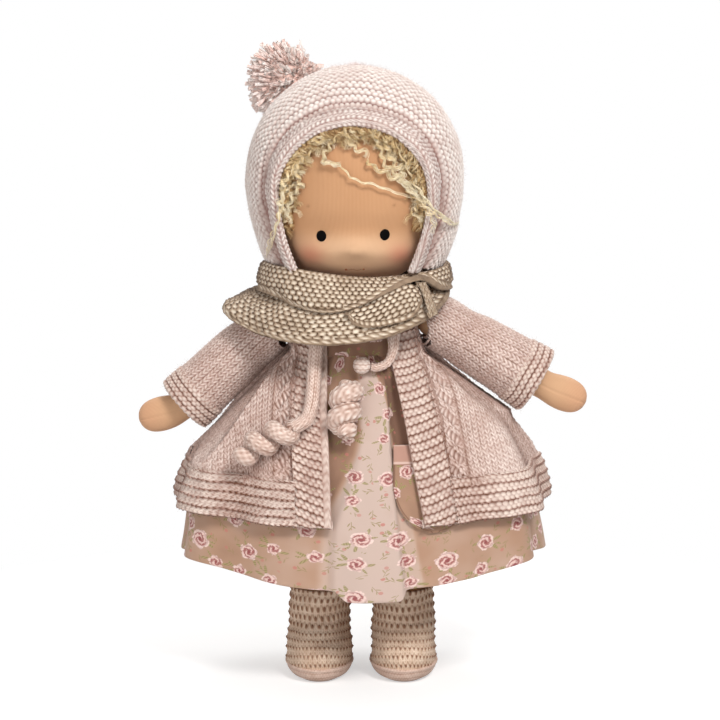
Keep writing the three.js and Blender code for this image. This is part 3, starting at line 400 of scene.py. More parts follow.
def turned_cotton():
    """The pocket's band shows the plain side of the cloth, painted in shade, with a painted highlight along its
    fold above and below.
    """
    finish = Finish("turned_cotton", "calico", roughness=0.85, sheen=0.12)
    finish.colour(finish.mix(finish.field("ply"), "b28a7b", "ecd8cd"))
    finish.bump(finish.noise(1500, 2), 0.08, 0.5)
    return finish.material


calico = calico_finish()
plain_cotton = turned_cotton()
print("calico", len(calico.node_tree.nodes), "nodes")

# %% [markdown]
# ## Mesh helpers
# A knitted fabric is a grid: stitches across, rows along. Each fabric piece below starts as a smooth surface
# in two directions, sampled finer than its stitches. The stitches then push each point out along the fabric's
# own normal. Cut edges are rolled round to the back, so a sheet shows its thickness.

# %% Meshes from grids
def new_piece(name, points, faces, material, fields, body, nodes=()):
    """A mesh with fields at its points, which moves with its body and stands for the solids it replaces."""
    mesh = bpy.data.meshes.new(name)
    mesh.from_pydata(to_row(points).tolist(), [], faces if isinstance(faces, list) else faces.tolist())
    for key, values in fields.items():
        made = mesh.attributes.new(key, "FLOAT", "POINT")
        made.data.foreach_set("value", np.ascontiguousarray(values, np.float32).ravel())
    mesh.polygons.foreach_set("use_smooth", np.ones(len(mesh.polygons), bool))
    mesh.materials.append(material)
    mesh.update()
    piece = bpy.data.objects.new(name, mesh)
    bpy.context.scene.collection.objects.link(piece)
    if nodes:
        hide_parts(*nodes)
    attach(piece, body)
    print(name, len(faces), "faces")
    return piece


def grid_faces(rows, columns, closed=False):
    across = columns if closed else columns - 1
    row, column = np.meshgrid(np.arange(rows - 1), np.arange(across), indexing="ij")
    a = row * columns + column
    b = row * columns + (column + 1) % columns
    return np.stack([a, b, b + columns, a + columns], -1).reshape(-1, 4)


def unit(vectors, least=1e-9):
    """The same directions, each of length 1."""
    return vectors / np.maximum(np.linalg.norm(vectors, axis=-1, keepdims=True), least)


def grid_normals(points, closed=False):
    if closed:
        across = np.roll(points, -1, 1) - np.roll(points, 1, 1)
    else:
        across = np.gradient(points, axis=1)
    return unit(np.cross(across, np.gradient(points, axis=0)))


def lengths_along(points, axis):
    steps = np.linalg.norm(np.diff(points, axis=axis), axis=2)
    pad = [(0, 0), (0, 0)]
    pad[axis] = (1, 0)
    return np.pad(np.cumsum(steps, axis=axis), pad)


def without_loose(points, faces, fields):
    used, faces = np.unique(np.asarray(faces), return_inverse=True)
    fields = {key: np.asarray(values).ravel()[used] for key, values in fields.items()}
    return points[used], faces.reshape(-1, 4), fields

# %% Smooth tables and gentle waves
def through(rows, at, column=1):
    """The smooth curve through a table's rows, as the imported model's source reads its tables."""
    table = np.asarray(rows, float)
    x, y = table[:, 0], table[:, column]
    at = np.clip(np.asarray(at, float), x[0], x[-1])
    high = np.clip(np.searchsorted(x, at), 1, len(x) - 1)
    low, before, after = high - 1, np.maximum(high - 2, 0), np.minimum(high + 1, len(x) - 1)
    span = x[high] - x[low]
    t = (at - x[low]) / span
    slope_low = (y[high] - y[before]) / (x[high] - x[before]) * span
    slope_high = (y[after] - y[low]) / (x[after] - x[low]) * span
    return ((2 * t**3 - 3 * t**2 + 1) * y[low] + (t**3 - 2 * t**2 + t) * slope_low
            + (3 * t**2 - 2 * t**3) * y[high] + (t**3 - t**2) * slope_high)


def curve_through(known, points, at):
    """The smooth curve through points that it reaches at known places along it."""
    return np.stack([through(np.stack([known, points[:, k]], 1), at) for k in range(3)], -1)


def run_along(line):
    return np.concatenate([[0], np.cumsum(np.linalg.norm(np.diff(line, axis=0), axis=1))])


def mix(low, high, share):
    return low + (high - low) * share


def held(value):
    return np.clip(value, 0, 1)


def hill(value, middle, reach):
    """1 at the middle, and soon 0 beyond its reach on either side."""
    return np.exp(-((value - middle) / reach) ** 2)


def smooth(value, low, high):
    t = held((value - low) / (high - low))
    return t * t * (3 - 2 * t)


def ripples(a, b, pitch, seed, count=7):
    """A smooth uneven height from -1 to 1 over two directions, the same on each run."""
    own = np.random.default_rng(seed)
    total = 0
    for _ in range(count):
        turn = own.uniform(0, 2 * np.pi)
        wave = 2 * np.pi / (pitch * own.uniform(0.7, 1.6))
        total = total + np.sin((a * np.cos(turn) + b * np.sin(turn)) * wave + own.uniform(0, 2 * np.pi))
    return total / count**0.5


# %% [markdown]
# ## Stitches
# Each stitch pattern is a height from 0 to 1 over millimetres across (s) and along (t) the fabric. Stocking
# stitch is columns of V, garter stitch is ridges of small bumps that lock into each other, and the boots have
# rows of holes. Real hand knitting is never even, so every pattern is led off its grid by slow ripples.

# %% Stitch heights
def uneven(s, t, amount, seed):
    return s + amount * ripples(s, t, 23, seed), t + amount * ripples(s, t, 19, seed + 1)


def stocking(s, t, wale=3.6, row=2.9, seed=1):
    s, t = uneven(s, t, 0.35, seed)
    x = np.abs(s / wale - np.floor(s / wale) - 0.5)
    leg = held(1 - ((x - 0.23) / 0.275) ** 2)
    strand = 0.5 - 0.5 * np.cos(2 * np.pi * (t / row + 2.1 * x))
    return leg**0.6 * (0.35 + 0.65 * strand**0.7)


def garter(s, t, bead=3.6, ridge=5.4, seed=2, apart=0.4, round_at=(0.57, 0.3)):
    s, t = uneven(s, t, 0.3, seed)
    height = np.zeros_like(s)
    for place, turned in ((0.5 - apart / 2, 0.0), (0.5 + apart / 2, 0.5)):
        across = (s / bead + turned) % 1.0 - 0.5
        along = (t / ridge - place + 0.5) % 1.0 - 0.5
        height = np.maximum(height, 1 - (across / round_at[0]) ** 2 - (along / round_at[1]) ** 2)
    return np.sqrt(held(height))

# %% Openwork and a chain edge
def openwork(s, t, pitch=4.9, row=5.2, hole=0.95, seed=4):
    """Crocheted rows: leaning posts in pairs, a small hole between two pairs, a ridge above each row."""
    s, t = uneven(s, t, 0.4, seed)
    number = np.floor(t / row)
    x = ((s / pitch + 0.5 * (number % 2)) % 1.0 - 0.5) * pitch
    y = (t / row - number - 0.5) * row
    gap = np.exp(-((x / hole) ** 2 + ((y - 0.3) / (hole * 2.1)) ** 2) ** 1.5)
    posts = 0.5 + 0.5 * np.cos(2 * np.pi * (s + 0.35 * y * np.sign(x)) / (pitch / 2))
    ridge = np.exp(-((np.abs(y) - row / 2) / 0.75) ** 2) * (0.62 + 0.2 * np.cos(2 * np.pi * s / (pitch / 2)))
    # Inside a hole the value drops below the valley, so the hole is painted darkest: painted shade.
    return held(np.maximum(0.3 + 0.5 * posts**0.7, ridge)) * (1 - gap) - 0.45 * gap


def chain(s, t, link=3.2, width=5.0):
    """A rope of slanted links along an edge, as a cast-off edge has. t runs across it."""
    x = held(t / width) - 0.5
    round_edge = np.sqrt(held(1 - (np.abs(x) / 0.52) ** 2))
    strand = 0.5 - 0.5 * np.cos(2 * np.pi * (s / link + 1.1 * x))
    return round_edge * (0.5 + 0.5 * strand**0.6)


# %% Rolled edges
def edge_run(length, step, thickness, tuck):
    """Places along one direction of a sheet, as millimetres and depth. Both ends roll to the back."""
    inside = np.linspace(0, length, max(2, round(length / step) + 1))
    if thickness == 0:
        return inside, np.zeros_like(inside)
    turn = np.linspace(0, np.pi, 6)[1:]
    bulge = thickness / 2 * np.sin(turn)
    depth = thickness / 2 * (1 - np.cos(turn))
    far = np.concatenate([length + bulge, [length - tuck]])
    far_depth = np.concatenate([depth, [thickness]])
    near = (length - far)[::-1]
    return np.concatenate([near, inside, far]), np.concatenate([far_depth[::-1], 0 * inside, far_depth])


def rolled_length(thickness, tuck):
    """How much of a sheet's run is rolled round its edge and out of sight."""
    return np.pi * thickness / 2 + tuck

# %% A sheet of knitting or cloth
def fabric(name, surface, size, thickness, stitch, lift, material, body, nodes=(), step=0.8, tuck=6,
           closed=False, keep=None, roll_sides=True, folds=None, measured_from=0.0, clear=None, sheet=None):
    """A sheet of knitting or cloth, from a surface of two shares and a depth. size is width and length."""
    wide, long = size
    run_u, depth_u = edge_run(wide, step, thickness if roll_sides and not closed else 0, tuck)
    run_v, depth_v = edge_run(long, step, thickness, tuck)
    if closed:
        run_u, depth_u = run_u[:-1], depth_u[:-1]
    u, v = np.meshgrid(run_u / wide, run_v / long)
    depth = np.maximum(*np.meshgrid(depth_u, depth_v))
    base = surface(u, v, depth)
    s = lengths_along(base, 1)
    start = np.argmin(np.abs(run_u / wide - measured_from))
    s = s - s[:, start:start + 1]
    t = lengths_along(base, 0)
    t = t - t[np.argmin(np.abs(run_v)), :][None, :]
    if closed:
        around = np.mean(np.linalg.norm(np.diff(base, axis=1, append=base[:, :1]), axis=2).sum(1))
        s = u * around
    front = 1 - held(depth / max(thickness, 0.1))
    shaped, raised = base, 0
    if folds is not None:
        outward = unit(base - surface(u, v, depth + 1.0), 1e-6)
        raised = folds(s, t, base)
        shaped = base + outward * raised[..., None]
    if clear is not None:
        shaped = clear(shaped)
    made = stitch(s, t)
    height, ply = made if isinstance(made, tuple) else (made, made)
    points = shaped + grid_normals(shaped, closed) * (lift * height * (0.4 + 0.6 * front))[..., None]
    faces = grid_faces(*u.shape, closed)
    flat_points = points.reshape(-1, 3)
    if keep is not None:
        kept = keep(base.reshape(-1, 3))
        faces = faces[kept[faces].all(1)]
    # Fold height goes into ply too, so fold hollows are painted darker and fold crests lighter: painted shade
    # and highlight.
    values = {"ply": ply + 0.05 * raised, "cloth_u": s, "cloth_v": t, "rib": s}
    flat_points, faces, values = without_loose(flat_points, faces, values)
    piece = new_piece(name, flat_points, faces, material, values, body, nodes)
    if sheet:
        a, b, c, d = (base.reshape(-1, 3)[grid_faces(*u.shape, closed)[:, i]] for i in range(4))
        area = np.linalg.norm(np.cross(c - a, d - b), axis=1).sum() / 2 * MM**2
        spans = (s.max(1) - s.min(1)).max() * MM, (t.max(0) - t.min(0)).max() * MM
        min(area, spans[0] * spans[1])
        print(f"{name}: flat {spans[0] * 1000:.0f} x {spans[1] * 1000:.0f} mm")
    return piece


# %% [markdown]
# ## Stuffed shapes
# Torso, head, arms and legs are sewn tubes filled firmly with wool. Each is a stack of rounded sections along
# its length. A skin like this is under even tension, so a smooth loft shows it better than a cloth
# simulation, which would only add wrinkles that a firmly stuffed limb doesn't have.

# %% Body shapes
torso_shares = [
    [0, 0.5, 0.5], [0.04, 0.8, 0.84], [0.14, 0.98, 1], [0.35, 1, 1], [0.62, 0.96, 0.96], [0.78, 0.98, 0.94],
    [0.84, 0.945, 0.9], [0.9, 0.86, 0.82], [0.96, 0.68, 0.72], [1, 0.5, 0.62],
]
hip_height, shoulder_height, torso_bottom, torso_top = 120.0, 219.0, 123.0, 238.0
torso_half_width, torso_half_depth, body_lean = 40.0, 28.0, -4.0
forwards = np.array([0, -1.0, 0])
waist_height = 200.0
seat_gap, layer_gap = 0.3, 0.8


def lean_at(z):
    return body_lean * smooth(z, hip_height, shoulder_height)


def torso_width(z):
    return torso_half_width * through(torso_shares, (z - torso_bottom) / (torso_top - torso_bottom), 1)


def torso_depth(z):
    return torso_half_depth * through(torso_shares, (z - torso_bottom) / (torso_top - torso_bottom), 2)

# %% Lofts
def loft(name, rings, material, body, nodes, fields=None):
    """A closed skin through rings of points, capped at both ends."""
    rows, columns, _ = rings.shape
    faces = grid_faces(rows, columns, True)
    points = np.concatenate([rings.reshape(-1, 3), rings[0].mean(0)[None], rings[-1].mean(0)[None]])
    ends = []
    for row, centre, flip in ((0, rows * columns, False), (rows - 1, rows * columns + 1, True)):
        ring = row * columns + np.arange(columns)
        following = np.roll(ring, -1)
        pairs = (ring, following) if flip else (following, ring)
        ends += [[a, b, centre] for a, b in zip(*pairs)]
    values = {"rib": np.tile(np.linspace(0, 1, columns, endpoint=False), rows)}
    values = {key: np.concatenate([np.ravel(v), [0, 0]]) for key, v in (fields or values).items()}
    piece = new_piece(name, points, faces.tolist() + ends, material, values, body, nodes)
    return piece


def turns(count):
    return np.arange(count) / count * 2 * np.pi


def oval_rings(levels, x, y, half_width, half_depth, sides):
    turn = turns(sides)[None, :]
    column = np.asarray(levels, float)[:, None]
    spread = [np.broadcast_to(np.asarray(v, float).reshape(-1, 1), (len(levels), 1))
              for v in (x, y, half_width, half_depth)]
    return np.stack([spread[0] + spread[2] * np.sin(turn), spread[1] - spread[3] * np.cos(turn),
                     column + 0 * turn], -1)

# %% Torso
levels = np.linspace(torso_bottom, torso_top, 90)
torso_rings = oval_rings(levels, lean_at(levels), 0, torso_width(levels), torso_depth(levels), 90)
around_mm = np.broadcast_to(turns(90) * 34, (90, 90))
loft("stuffed_torso", torso_rings, skin, "torso", ["torso"], {"rib": around_mm, "blush_and_shade": 0 * around_mm})

# %% [markdown]
# ### Head
# The head is a firm ball, gathered by a thread at the neck. The nose is a small bead of wool under the skin,
# so the surface swells round it and stretches away on all sides. Two stitches dimple the skin at each eye.

# %% Head
head_width, head_height, head_centre = 106.0, 120.0, 301.0
head_fullness = 2.4
neck_radius, neck_thread_height = 20.0, 240.1
nose_height, eye_height, mouth_height = head_centre - 35.5, head_centre - 27, head_centre - 47.5
eye_half_spacing = 18.8


def head_radius(z, grow=0.0):
    share = held(np.abs(z - head_centre) / (head_height / 2 + grow))
    return (head_width / 2 + grow) * (1 - share**head_fullness) ** (1 / head_fullness)


def face_swell(x, z):
    """How far the stuffing pushes the face out: cheeks and nose swell below the eye line's thread."""
    wide = np.exp(-(np.abs(x) / 38) ** 4)
    swell = wide * (3.8 * hill(z, 263, 7.5) - 1.8 * hill(z, 278, 8.0))
    near_nose = np.hypot(x / 1.5, z - nose_height - 0.5)
    swell = swell + 2.9 * np.exp(-(near_nose / 4.8) ** 2.4) + 0.9 * hill(near_nose, 0, 11)
    for sign in (-1, 1):
        swell = swell - 0.8 * np.exp(-(np.hypot(x - sign * eye_half_spacing, z - eye_height) / 4.4) ** 2)
    return swell - 0.7 * np.exp(-(np.hypot(x / 2.6, z - mouth_height) / 2.4) ** 2)


def face_y(x, z):
    return -np.sqrt(np.maximum(head_radius(z) ** 2 - x**2, 0)) - face_swell(x, z)

# %% Head mesh
cheeks = [(-30.5, 261.5), (23.5, 261.5)]
polar = np.linspace(-0.997, 0.995, 190)
levels = head_centre + 60 * np.sin(polar * np.pi / 2)
levels = np.concatenate([np.linspace(torso_top + 0.6, 243.2, 8), levels[levels > 243.6]])
radii = np.maximum(head_radius(levels), np.where(levels < 246, neck_radius, 0))
drawn_in = neck_radius - 0.9 * hill(levels, neck_thread_height, 0.9) * 1.4
radii = np.where(levels < neck_thread_height + 0.8, drawn_in, radii)
head_rings = oval_rings(levels, body_lean, 0, radii, radii, 300)
turn = turns(300)[None, :]
front = smooth(np.cos(turn), 0.05, 0.3) * smooth(levels[:, None], 244, 250)
x_off, z_all = head_rings[..., 0] - body_lean, head_rings[..., 2]
head_rings[..., 1] -= front * face_swell(x_off, z_all)
# Painted light and shade on the face: a painted highlight on the lower face and the bridge of the nose, painted
# shade under the nose, and a reddish band of painted shade across the chin.
under_nose_shade = np.exp(-(np.hypot(x_off / 8.5, (z_all - nose_height + 3.0) / 3.4)) ** 2)
bridge_highlight = np.exp(-(np.hypot(x_off / 15, (z_all - 271.0) / 3.6)) ** 2)
pale_and_highlight = 1 - smooth(z_all, 264, 280) + 0.35 * bridge_highlight
blush_and_shade = -0.32 * under_nose_shade
for x, z in cheeks:
    blush_and_shade = blush_and_shade + np.exp(-(np.hypot(head_rings[..., 0] - x, (z_all - z) * 1.15) / 8.0) ** 2)
# A reddish band across the chin, where the face turns under: painted shade.
blush_and_shade = blush_and_shade + 0.35 * hill(z_all, 250, 4.0)
for x, z in ((-27.6, 291.7), (23.2, 292.4)):
    blush_and_shade = blush_and_shade - 0.9 * np.exp(-(np.hypot(x_off - x, z_all - z) / 0.9) ** 2)
rib_mm = np.broadcast_to((turn + np.pi) % (2 * np.pi) * 50, x_off.shape)
head_fields = {"rib": rib_mm, "blush_and_shade": blush_and_shade * front, "pale_and_highlight": pale_and_highlight}
loft("stuffed_head", head_rings, skin, "head", ["head"], head_fields)

# %% [markdown]
# ### Eyes, mouth and brows
# The eyes are satin stitched domes of dark thread, the mouth two short stitches with a stitch point at each
# end, and the neck thread is a tight ring that draws the skin in.

# %% Face threads
def dome(name, x, z, radius, depth, material, nodes):
    rows, sides = 14, 40
    tilt = np.linspace(0.02, 1, rows)[:, None] * np.pi * 0.62
    turn = turns(sides)[None, :]
    along = radius * np.sin(np.minimum(tilt, np.pi / 2)) * np.cos(turn)
    up = 1.14 * radius * np.sin(np.minimum(tilt, np.pi / 2)) * np.sin(turn)
    out = depth * np.cos(tilt) + 0 * turn
    rings = np.stack([x + body_lean + along, face_y(x + along, z + up) + 0.1 - out, z + up], -1)[::-1]
    values = {"rib": along + 0.12 * np.sin(up * 5)}
    return loft(name, rings, material, "head", nodes, values)


for side, x, z in (("left", -19.8, 274.0), ("right", 17.8, 274.8)):
    dome(f"thread_eye_{side}", x, z, 2.95, 1.8, eye_thread, [f"eye_{side}"])

# %% Tubes
def tube(name, line, radii, material, body, nodes=(), sides=12, bumps=None):
    """A tube along a line of points. Its ring stays level, so that knitted columns don't twist."""
    line = np.asarray(line, float)
    along = unit(np.gradient(line, axis=0))
    up = np.zeros_like(line)
    up[0] = np.cross(np.cross(along[0], [0.13, -0.97, 0.2]), along[0])
    for i in range(len(line)):
        carried = up[max(i - 1, 0)]
        carried = carried - along[i] * carried.dot(along[i])
        up[i] = carried / np.linalg.norm(carried)
    side = np.cross(along, up)
    turn = turns(sides)[None, :, None]
    radii = np.broadcast_to(np.asarray(radii, float).reshape(-1, 1, 1), (len(line), sides, 1))
    around = np.cos(turn) * up[:, None] + np.sin(turn) * side[:, None]
    run = run_along(line)
    t = np.broadcast_to(run[:, None], (len(line), sides))
    s = np.broadcast_to(turn[..., 0] * radii.mean(), t.shape)
    height, ply = bumps(s, t) if bumps else (np.zeros(t.shape), np.full(t.shape, 0.7))
    rings = line[:, None] + around * (radii + height[..., None])
    values = {"ply": ply, "rib": t * 0.7 + s * 0.5, "cloth_u": s, "cloth_v": t}
    return loft(name, rings[:, ::-1], material, body, nodes, {k: v[:, ::-1] for k, v in values.items()})

# %% Mouth and neck thread
mouth_x = np.linspace(-5.8, 5.8, 40)
mouth_sag = 0.5 * (1 - (mouth_x / 5.8) ** 2) + 0.35 * np.sin(mouth_x * 1.1)
mouth_y = face_y(mouth_x, mouth_height) + 0.1 - 0.3 * (np.abs(mouth_x) > 4.9)
mouth_line = np.stack([body_lean + mouth_x, mouth_y, mouth_height - mouth_sag], -1)
mouth_radii = 0.07 + 0.62 * np.exp(-((np.abs(mouth_x) - 5.3) / 0.5) ** 2)
tube("thread_mouth", mouth_line, mouth_radii, mouth_thread, "head", ["mouth_stitch"])
ring_turn = np.linspace(0, 2 * np.pi, 80)
ring_radius = neck_radius - 0.3
neck_line = np.stack([body_lean + ring_radius * np.sin(ring_turn), -ring_radius * np.cos(ring_turn),
                      neck_thread_height + 0 * ring_turn], -1)
tube("neck_gather", neck_line, 0.8, neck_cotton, "head", ["neck_thread"])

# %% [markdown]
# ## Arms and legs
# An arm is one tube that ends in a mitten. A seam runs along the middle of the hand, where the two halves of
# tricot meet. The feet are inside the boots.

# %% Arms
arm_rows = [  # distance along from the shoulder, share of fullness in height and depth
    [-11, 0.8, 0.8], [-9.5, 4.5, 4.5], [-7, 8, 8], [-3.5, 10.3, 10.3], [0, 11, 11], [18, 10.6, 10.6],
    [45, 9.9, 9.7], [74, 9.2, 8.6], [80, 9.0, 8.2], [88, 10.3, 8.2], [94, 10.6, 7.9], [100, 9.6, 7.0],
    [104, 7.3, 5.4], [106.3, 4.2, 3.2], [107.2, 1.0, 0.8],
]
sleeves = {
    "left": {"sign": -1, "x": -52.0, "length": 64.0, "cuff": 18.8, "drop": 43.0, "bend": 28.0},
    "right": {"sign": 1, "x": 44.0, "length": 60.0, "cuff": 21.0, "drop": 31.0, "bend": 9.0},
}
arm_root, arm_tip = arm_rows[0][0], arm_rows[-1][0]


def shoulder(arm):
    return np.array([arm["x"], 0, shoulder_height])


def arm_axes(arm):
    """The way that an arm points, and the way up across it."""
    drop = np.radians(arm["drop"])
    return (np.array([arm["sign"] * np.cos(drop), 0, -np.sin(drop)]),
            np.array([arm["sign"] * np.sin(drop), 0, np.cos(drop)]))


for side, arm in sleeves.items():
    run = np.linspace(arm_root, arm_tip, 150)
    down = np.radians(arm["drop"])
    direction = -down + np.radians(arm["bend"]) * smooth(run, 72, 92)
    step = np.diff(run, prepend=run[0])
    x = np.cumsum(step * np.cos(direction)) + arm_root * np.cos(down)
    z = np.cumsum(step * np.sin(direction)) - arm_root * np.sin(down)
    tall, deep = through(arm_rows, run, 1), through(arm_rows, run, 2)
    turn = turns(72)
    off = tall[:, None] * np.cos(turn) * np.ones_like(run)[:, None]
    away = deep[:, None] * np.sin(turn)
    groove = 0.5 * hill(off, 0, 0.55) * smooth(run, 66, 74)[:, None]
    away = away - np.sign(away) * np.minimum(groove, np.abs(away) * 0.5)
    rings = np.stack([x[:, None] - off * np.sin(direction)[:, None], -away,
                      z[:, None] + off * np.cos(direction)[:, None]], -1)
    rings = rings * [arm["sign"], 1, 1] + shoulder(arm)
    if arm["sign"] > 0:
        rings = rings[:, ::-1]
        off = off[:, ::-1]
    tip = np.broadcast_to(0.25 * smooth(run, 84, 104)[:, None], off.shape)
    loft(f"stuffed_arm_{side}", rings, skin, f"arm_{side}", [f"arm_{side}"],
         {"rib": off + 20, "blush_and_shade": tip, "pale_and_highlight": 0.7 + 0 * tip})

# %% Legs
leg_apart, foot_ahead = 26.0, -10
leg_rows = [  # height, half width, half depth, share of the foot's way ahead
    [3.3, 7, 14, 1], [5, 11, 22, 1], [9.5, 16.5, 27, 1], [14, 17, 27.2, 1], [21, 16, 23.6, 0.84],
    [27, 15.6, 19.8, 0.5], [34, 15.2, 16.4, 0.2], [43, 15, 15.2, 0.05], [60, 13.5, 13.5, 0],
    [86, 14.6, 14.6, 0], [108, 15.9, 15.9, 0], [120, 16.5, 16.5, 0], [128, 14.4, 14.4, 0],
    [133, 10.2, 10.2, 0], [136, 4.2, 4.2, 0],
]
levels = np.linspace(leg_rows[0][0], leg_rows[-1][0], 110)
for side, sign in (("left", -1), ("right", 1)):
    slide = foot_ahead * through(leg_rows, levels, 3)
    rings = oval_rings(levels, sign * leg_apart, slide, through(leg_rows, levels, 1),
                       through(leg_rows, levels, 2), 60)
    flat = np.broadcast_to(turns(60) * 14, (110, 60))
    loft(f"stuffed_leg_{side}", rings, skin, f"leg_{side}", [f"leg_{side}"],
         {"rib": flat, "blush_and_shade": 0 * flat})

# %% [markdown]
# ## Dress
# The skirt is one wide strip gathered at the waist and left to hang, so its folds open towards the hem. Each
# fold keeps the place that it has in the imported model, and gets softer neighbours here.

# %% Dress shapes
fold_rows = [
    [-180, 0.3], [-152, 1.2], [-130, -0.6], [-108, 1.1], [-94, 0], [-80, -1.2], [-63, 1.4], [-46, 0],
    [-31, 0], [0, 0], [34, 0], [46, 0.1], [61, 1.5], [78, -1.2], [94, 0], [108, 1.1], [130, -0.6],
    [152, 1.2], [180, 0.3],
]
skirt_width_rows = [
    [0, 0], [0.11, 0.27], [0.17, 0.39], [0.22, 0.48], [0.3, 0.58], [0.39, 0.675], [0.48, 0.77], [0.58, 0.845],
    [0.7, 0.91], [1, 1],
]
skirt_depth_rows = [[0, 0], [0.11, 0.15], [0.23, 0.3], [0.34, 0.44], [0.53, 0.64], [0.73, 0.8], [1, 1]]
under_dress = 1.7
skirt_hem_half_width, skirt_hem_half_depth = 113.0, 75.0
skirt_side_drop, skirt_front_drop, fold_depth = 124.0, 140.0, 3.6


def skirt_drop(u):
    return mix(skirt_front_drop, skirt_side_drop, np.sin(u) ** 2)


def dress_at(z, u):
    """Half width and half depth of the dress at a height, on one side of the doll."""
    share = held((waist_height - z) / skirt_drop(u))
    wrapped = (np.degrees(u) + 180) % 360 - 180
    fold = fold_depth * share**0.6 * through(fold_rows, wrapped)
    waist_wide, waist_deep = torso_width(waist_height) + under_dress, torso_depth(waist_height) + under_dress
    wide = mix(waist_wide, skirt_hem_half_width, through(skirt_width_rows, share)) + fold
    deep = mix(waist_deep, skirt_hem_half_depth, through(skirt_depth_rows, share)) + fold
    above = z >= waist_height
    return (np.where(above, torso_width(z) + under_dress, wide),
            np.where(above, torso_depth(z) + under_dress, deep))


def turn_round(points):
    """The angle of points round the doll, with its flattened oval drawn out to a circle."""
    return np.arctan2(points[..., 0] - body_lean, -points[..., 1] * 1.4)


def around(z, u, out):
    wide, deep = dress_at(z, u)
    return np.stack([lean_at(z) + (wide + out) * np.sin(u), -(deep + out) * np.cos(u), z + 0 * u], -1)


def hem_rise(u):
    """The hem hangs higher on each side of the front fold."""
    x = skirt_hem_half_width * np.sin(u)
    on_fold = smooth(x, -17, -8) * (1 - smooth(x, 22, 28))
    return 5.5 * (1 - on_fold) * smooth(np.cos(u), -0.1, 0.6)

# %% Room for the sleeves
swing_back, swing_ahead = -20, 35
at_rest = 4  # of the twelve angles, the one at which the arm hangs as sewn
sleeve_radius, sleeve_skin, cuff_length = 16.0, 16.9, 12


def sleeve_frames(arm):
    """At each angle of an arm's swing: the way it points, and the way from its axis down towards the body."""
    drop = np.radians(arm["drop"])
    for swing in np.radians(np.linspace(swing_back, swing_ahead, 12)):
        flat = np.array([arm["sign"] * np.cos(swing), -np.sin(swing), 0])
        yield np.cos(drop) * flat - [0, 0, np.sin(drop)], -np.sin(drop) * flat - [0, 0, np.cos(drop)]


def sleeve_reach(arm, along, gap):
    share = np.clip(along / (arm["length"] + cuff_length), 0, 1.1)
    return sleeve_skin + gap + (arm["cuff"] - sleeve_radius) * share


def below_sleeve(points, arm, way, down, gap):
    """How far points lie along a sleeve, beside it, below its axis and below its skin."""
    off = points - shoulder(arm)
    along, below = off @ way, off @ down
    aside = np.linalg.norm(off - along[..., None] * way - below[..., None] * down, axis=-1)
    return along, aside, below, below - np.sqrt(np.maximum(sleeve_reach(arm, along, gap) ** 2 - aside**2, 0))


def under_sleeves(gap):
    """Draws the fabric below a sleeve up to it, then pushes it clear at each angle of the swing."""
    def clear(points):
        for arm in sleeves.values():
            frames = list(sleeve_frames(arm))
            way, down = frames[at_rest]
            along, aside, _, lower = below_sleeve(points, arm, way, down, gap + 0.6)
            near = np.exp(-(aside / 15) ** 4) * smooth(along, 3, 12) * (1 - smooth(along, 66, 78))
            pull = np.maximum(lower, 0) * near * (1 - smooth(lower, 4, 10))
            points = points - pull[..., None] * down
            for way, down in frames:
                along, _, below, lower = below_sleeve(points, arm, way, down, gap)
                push = np.where((along > -8) & (below > 0), np.maximum(-lower, 0), 0)
                points = points + push[..., None] * down
        return points
    return clear

# %% Skirt
def skirt_surface(u, v, depth):
    turn = (u - 0.5) * 2 * np.pi
    z = waist_height - seat_gap - v * (skirt_drop(turn) - hem_rise(turn) - seat_gap)
    return around(z, turn, -depth)


pleat_rows = [[58, -19, 25.5], [100, -17, 21], [126, -8, 18], [150, -3, 16.5], [174, -4, 15], [200, -2, 12]]


def skirt_folds(s, t, base):
    """Gathers below the waist seam, slow waves at the hem, and the raised fold in the middle of the front."""
    x, z = base[..., 0], base[..., 2]
    turn = turn_round(base)
    down = waist_height - z
    gathers = 0.55 * np.sin(s / 1.5 + 0.8 * np.sin(s / 7)) * np.exp(-down / 9)
    waves = 1.1 * np.sin(turn * 9 + 1.3 * np.sin(turn * 3)) + 0.5 * ripples(s, t * 0.25, 40, 31)
    left, right = through(pleat_rows, z, 1), through(pleat_rows, z, 2)
    ahead = base[..., 1] < 0
    pleat = smooth(x, left - 3, left + 4) * (1 - smooth(x, right - 0.4, right + 1.6)) * smooth(down, 3, 34)
    beside = hill(x - right, 7, 5.5) * (x > right + 0.6) * smooth(down, 5, 20)
    beside = beside * mix(1.0, 0.3, smooth(down, 48, 62))
    gone_in = np.exp(-((x - left + 8) / 5.5) ** 2) * smooth(down, 36, 52) * (1 - smooth(down, 80, 104))
    slack = 0.35 * ripples(s, t * 0.4, 16, 32) * smooth(down, 6, 40)
    front = ahead * (3.2 * pleat - 4.4 * beside - 2.2 * gone_in + slack)
    return gathers + smooth(down, 84, 118) * waves + front


def skirt_shade(s, t):
    """No relief, only painted light and shade: the front fold is painted lightest and the hollow beside it
    darkest.
    """
    z = waist_height - t
    off = s - s.max(1, keepdims=True) / 2 + lean_at(z)
    left, right = through(pleat_rows, z, 1), through(pleat_rows, z, 2)
    on_fold = smooth(off, left, left + 5) * (1 - smooth(off, right - 0.5, right + 1.2)) * smooth(t, 4, 14)
    hollow = hill(off - right, 9, 7) * (off > right) * (1 - smooth(t, 50, 66))
    # Painted shadow of the cardigan: off the front fold, the skirt is darker higher up, under the cardigan's
    # hem.
    under = 0.25 * (1 - smooth(t, 84, 112))
    return 0 * s, 0.5 - under + (0.4 + under) * on_fold - 0.35 * hollow


def in_shade(s, t):
    return 0 * s, 0.12 + 0 * s


